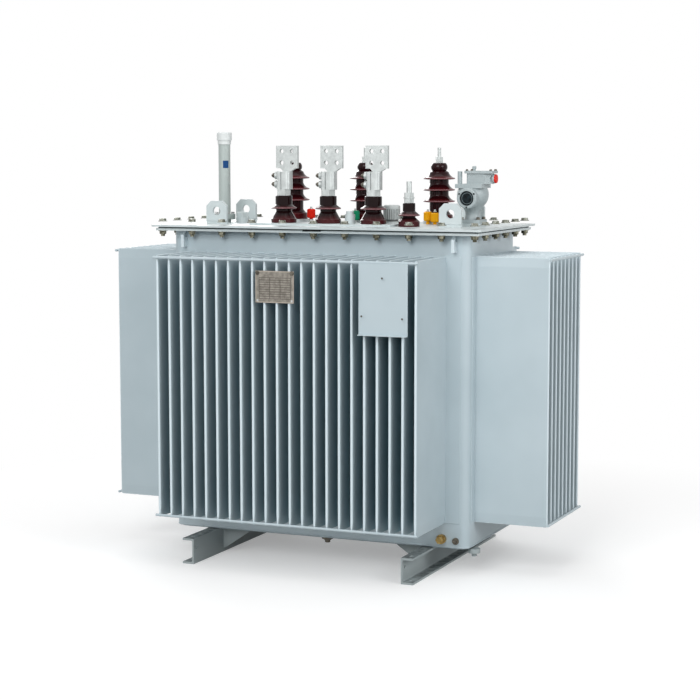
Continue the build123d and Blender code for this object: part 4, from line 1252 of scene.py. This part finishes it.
# %% Black strip in the cover joint
STRIP_LEFT = -37 * MM
STRIP_LENGTH = 77 * MM
STRIP_PROUD = 0.8 * MM
STRIP_DROP = 3 * MM
STRIP_ROOT = 1 * MM
STRIP_BEVEL = 0.5 * MM
gasket_low, gasket_high = low_and_high("cover_gasket")
strip = bmesh.new()
slab(
    strip,
    (STRIP_LEFT, flange_low.y - STRIP_PROUD, gasket_low.z - STRIP_DROP),
    (STRIP_LEFT + STRIP_LENGTH, gasket_low.y + STRIP_ROOT, gasket_high.z),
    STRIP_BEVEL,
)
keep("squeezed_gasket_strip", strip, black_rubber)

# %% [markdown]
# A second plug closes the floor plate under the front of the tank. It is turned, with a
# hexagon left on its end for the spanner.

# %% Plug under the middle of the tank
FLOOR_PLUG_X = 20 * MM
FLOOR_PLUG_WALL = 55 * MM
HEXAGON_DROP = 14.5 * MM
floor_low = low_and_high("tank_floor_plate")[0]
plug_y = tank_low.y + FLOOR_PLUG_WALL
floor_plug = bmesh.new()
plug_profile = [(16 * MM, -15 * MM), (18 * MM, -13 * MM), (23 * MM, -11 * MM), (23 * MM, 0.5 * MM)]
turned(floor_plug, (FLOOR_PLUG_X, plug_y, floor_low.z), plug_profile)
keep("floor_plug", floor_plug, dark_zinc)
hexagon_place = [(FLOOR_PLUG_X, plug_y, floor_low.z - HEXAGON_DROP)]
bolts("floor_plug_hexagon", hexagon_place, DOWN, dark_zinc, across_flats=19 * MM, head=10 * MM, seed=21)

# %% [markdown]
# The red and the green cap stand clear of the cover, on a flanged foot of light metal.

# %% Light metal feet under the phase markers
FOOT_RADIUS = 9 * MM
FOOT_FLANGE = 13 * MM
foot_profile = [(FOOT_FLANGE, 0.0), (FOOT_FLANGE, 4 * MM), (FOOT_RADIUS, 5 * MM), (FOOT_RADIUS, 12 * MM)]
feet = bmesh.new()
for node in ("phase_marker_red", "phase_marker_green"):
    centre = middle(node)
    turned(feet, (centre.x, centre.y, low_and_high(node)[0].z), foot_profile, sides=16)
keep("marker_feet", feet, tinned)

# %% [markdown]
# The floor and the light are a photographer's: a pale floor, an even sky and four soft lamps.
# The rear lamp keeps the sides that the camera doesn't see from falling into the dark.
# The lamps are kept low enough for paint to show as it is mixed. White comes from what the
# camera sees: the sky, and the floor away from the object, are plain white to camera and
# mirror rays only, so they put no extra light on the object, and its shadow stays.


# %% Rays that see the white surroundings
def seen_by_eye(tree):
    """One for rays from the camera or off a mirror or through glass, and nought for the rest."""
    rays = tree.nodes.new("ShaderNodeLightPath")
    eye = calculate(tree, "MAXIMUM", rays.outputs["Is Camera Ray"], rays.outputs["Is Glossy Ray"])
    return calculate(tree, "MAXIMUM", eye, rays.outputs["Is Transmission Ray"])


def blend_shaders(tree, factor, first, second):
    """Two shaders mixed by a value."""
    return add(tree, "ShaderNodeMixShader", {0: factor, 1: first, 2: second}).outputs["Shader"]


# %% [markdown]
# Near the object the camera sees the pale floor with its shadow, lifted a little by a weak
# emission. From 1.3 m to 2.6 m away it passes into plain white, so the floor has no far edge.

# %% Floor
FLOOR_SIZE = 30.0
FLOOR_GREY = paint("c4c4c4")
SHADED_GREY = paint("e2e2e2")
SHADOW_REACH = (1.3, 2.6)
FLOOR_LIFT = 0.3
floor_mesh = bpy.data.meshes.new("floor")
half = FLOOR_SIZE / 2
floor_corners = [(-half, -half, 0), (half, -half, 0), (half, half, 0), (-half, half, 0)]
floor_mesh.from_pydata(floor_corners, [], [(0, 1, 2, 3)])
floor = put_in_scene("floor", floor_mesh)


def floor_material():
    """A pale floor that turns plain white away from the object."""
    material, tree, principled = new_material("pale floor")
    tree.nodes.remove(principled)
    output = tree.nodes["Material Output"]
    plain = add(tree, "ShaderNodeBsdfDiffuse", {"Color": FLOOR_GREY})
    shaded = add(tree, "ShaderNodeBsdfDiffuse", {"Color": SHADED_GREY})
    lift = add(tree, "ShaderNodeEmission", {"Strength": FLOOR_LIFT})
    both = {0: shaded.outputs["BSDF"], 1: lift.outputs["Emission"]}
    lifted = add(tree, "ShaderNodeAddShader", both)
    white = tree.nodes.new("ShaderNodeEmission")
    distance = add(tree, "ShaderNodeVectorMath", {0: object_coords(tree)}, operation="LENGTH")
    away = remap(tree, distance.outputs["Value"], *SHADOW_REACH, 0.0, 1.0)
    visible = blend_shaders(tree, away, lifted.outputs["Shader"], white.outputs["Emission"])
    whole = blend_shaders(tree, seen_by_eye(tree), plain.outputs["BSDF"], visible)
    tree.links.new(whole, output.inputs["Surface"])
    return material


floor_mesh.materials.append(floor_material())
print("floor side in metres:", FLOOR_SIZE)

# %% [markdown]
# The world is an even white sky. It lights the object weakly, but rays from the camera, off a
# mirror or through glass see it at full strength, which is plain white.

# %% World light
WORLD_LIGHT = 0.3
world = bpy.data.worlds.new("studio")
bpy.context.scene.world = world
world.use_nodes = True
world_tree = world.node_tree
background = world_tree.nodes["Background"]
background.inputs["Color"].default_value = (1.0, 1.0, 1.0, 1.0)
strength = remap(world_tree, seen_by_eye(world_tree), 0.0, 1.0, WORLD_LIGHT, 1.0)
world_tree.links.new(strength, background.inputs["Strength"])
print("world light:", WORLD_LIGHT)


# %% [markdown]
# A lamp's level says how bright a white surface that faces it becomes, where 1 is full. The
# function works out the energy from the distance, so a lamp can be moved and keeps its effect.


# %% Lamps
def soft_lamp(name, place, aim, size, level):
    """A square lamp that lights a surface facing it, at the aim, to a level where 1 is full."""
    data = bpy.data.lights.new(name, "AREA")
    data.size = size
    direction = Vector(aim) - Vector(place)
    data.energy = level * math.pi**2 * direction.length_squared
    lamp = put_in_scene(name, data)
    lamp.location = place
    lamp.rotation_euler = direction.to_track_quat("-Z", "Y").to_euler()
    return lamp


CENTRE = (0.0, 0.0, 0.8)
soft_lamp("front lamp", (0.1, -7.5, 4.6), CENTRE, 4.5, 0.57)
soft_lamp("right lamp", (7.0, -2.5, 3.5), CENTRE, 3.5, 0.36)
soft_lamp("overhead lamp", (0.3, -0.8, 6.0), CENTRE, 4.0, 0.24)
soft_lamp("rear lamp", (-5.2, 6.0, 4.2), CENTRE, 4.5, 0.5)
print("lamps:", len(bpy.data.lights))

# %% [markdown]
# The camera stands where the photographer stood, a little to the right of the middle, looking
# slightly down through a long lens.

# %% Camera
PHOTO_WIDTH = 700
FOCAL_PIXELS = 1860.04
SENSOR = 36.0
camera_data = bpy.data.cameras.new("camera")
camera_data.sensor_width = SENSOR
camera_data.lens = FOCAL_PIXELS / PHOTO_WIDTH * SENSOR
camera = put_in_scene("camera", camera_data)
camera.location = (2.9033, -6.7747, 1.5994)
camera.rotation_euler = (math.radians(90 - 6.13), math.radians(0.03), math.radians(23.02))
bpy.context.scene.camera = camera
bpy.context.scene.view_settings.view_transform = "Standard"
print("lens in mm:", round(camera_data.lens, 2))
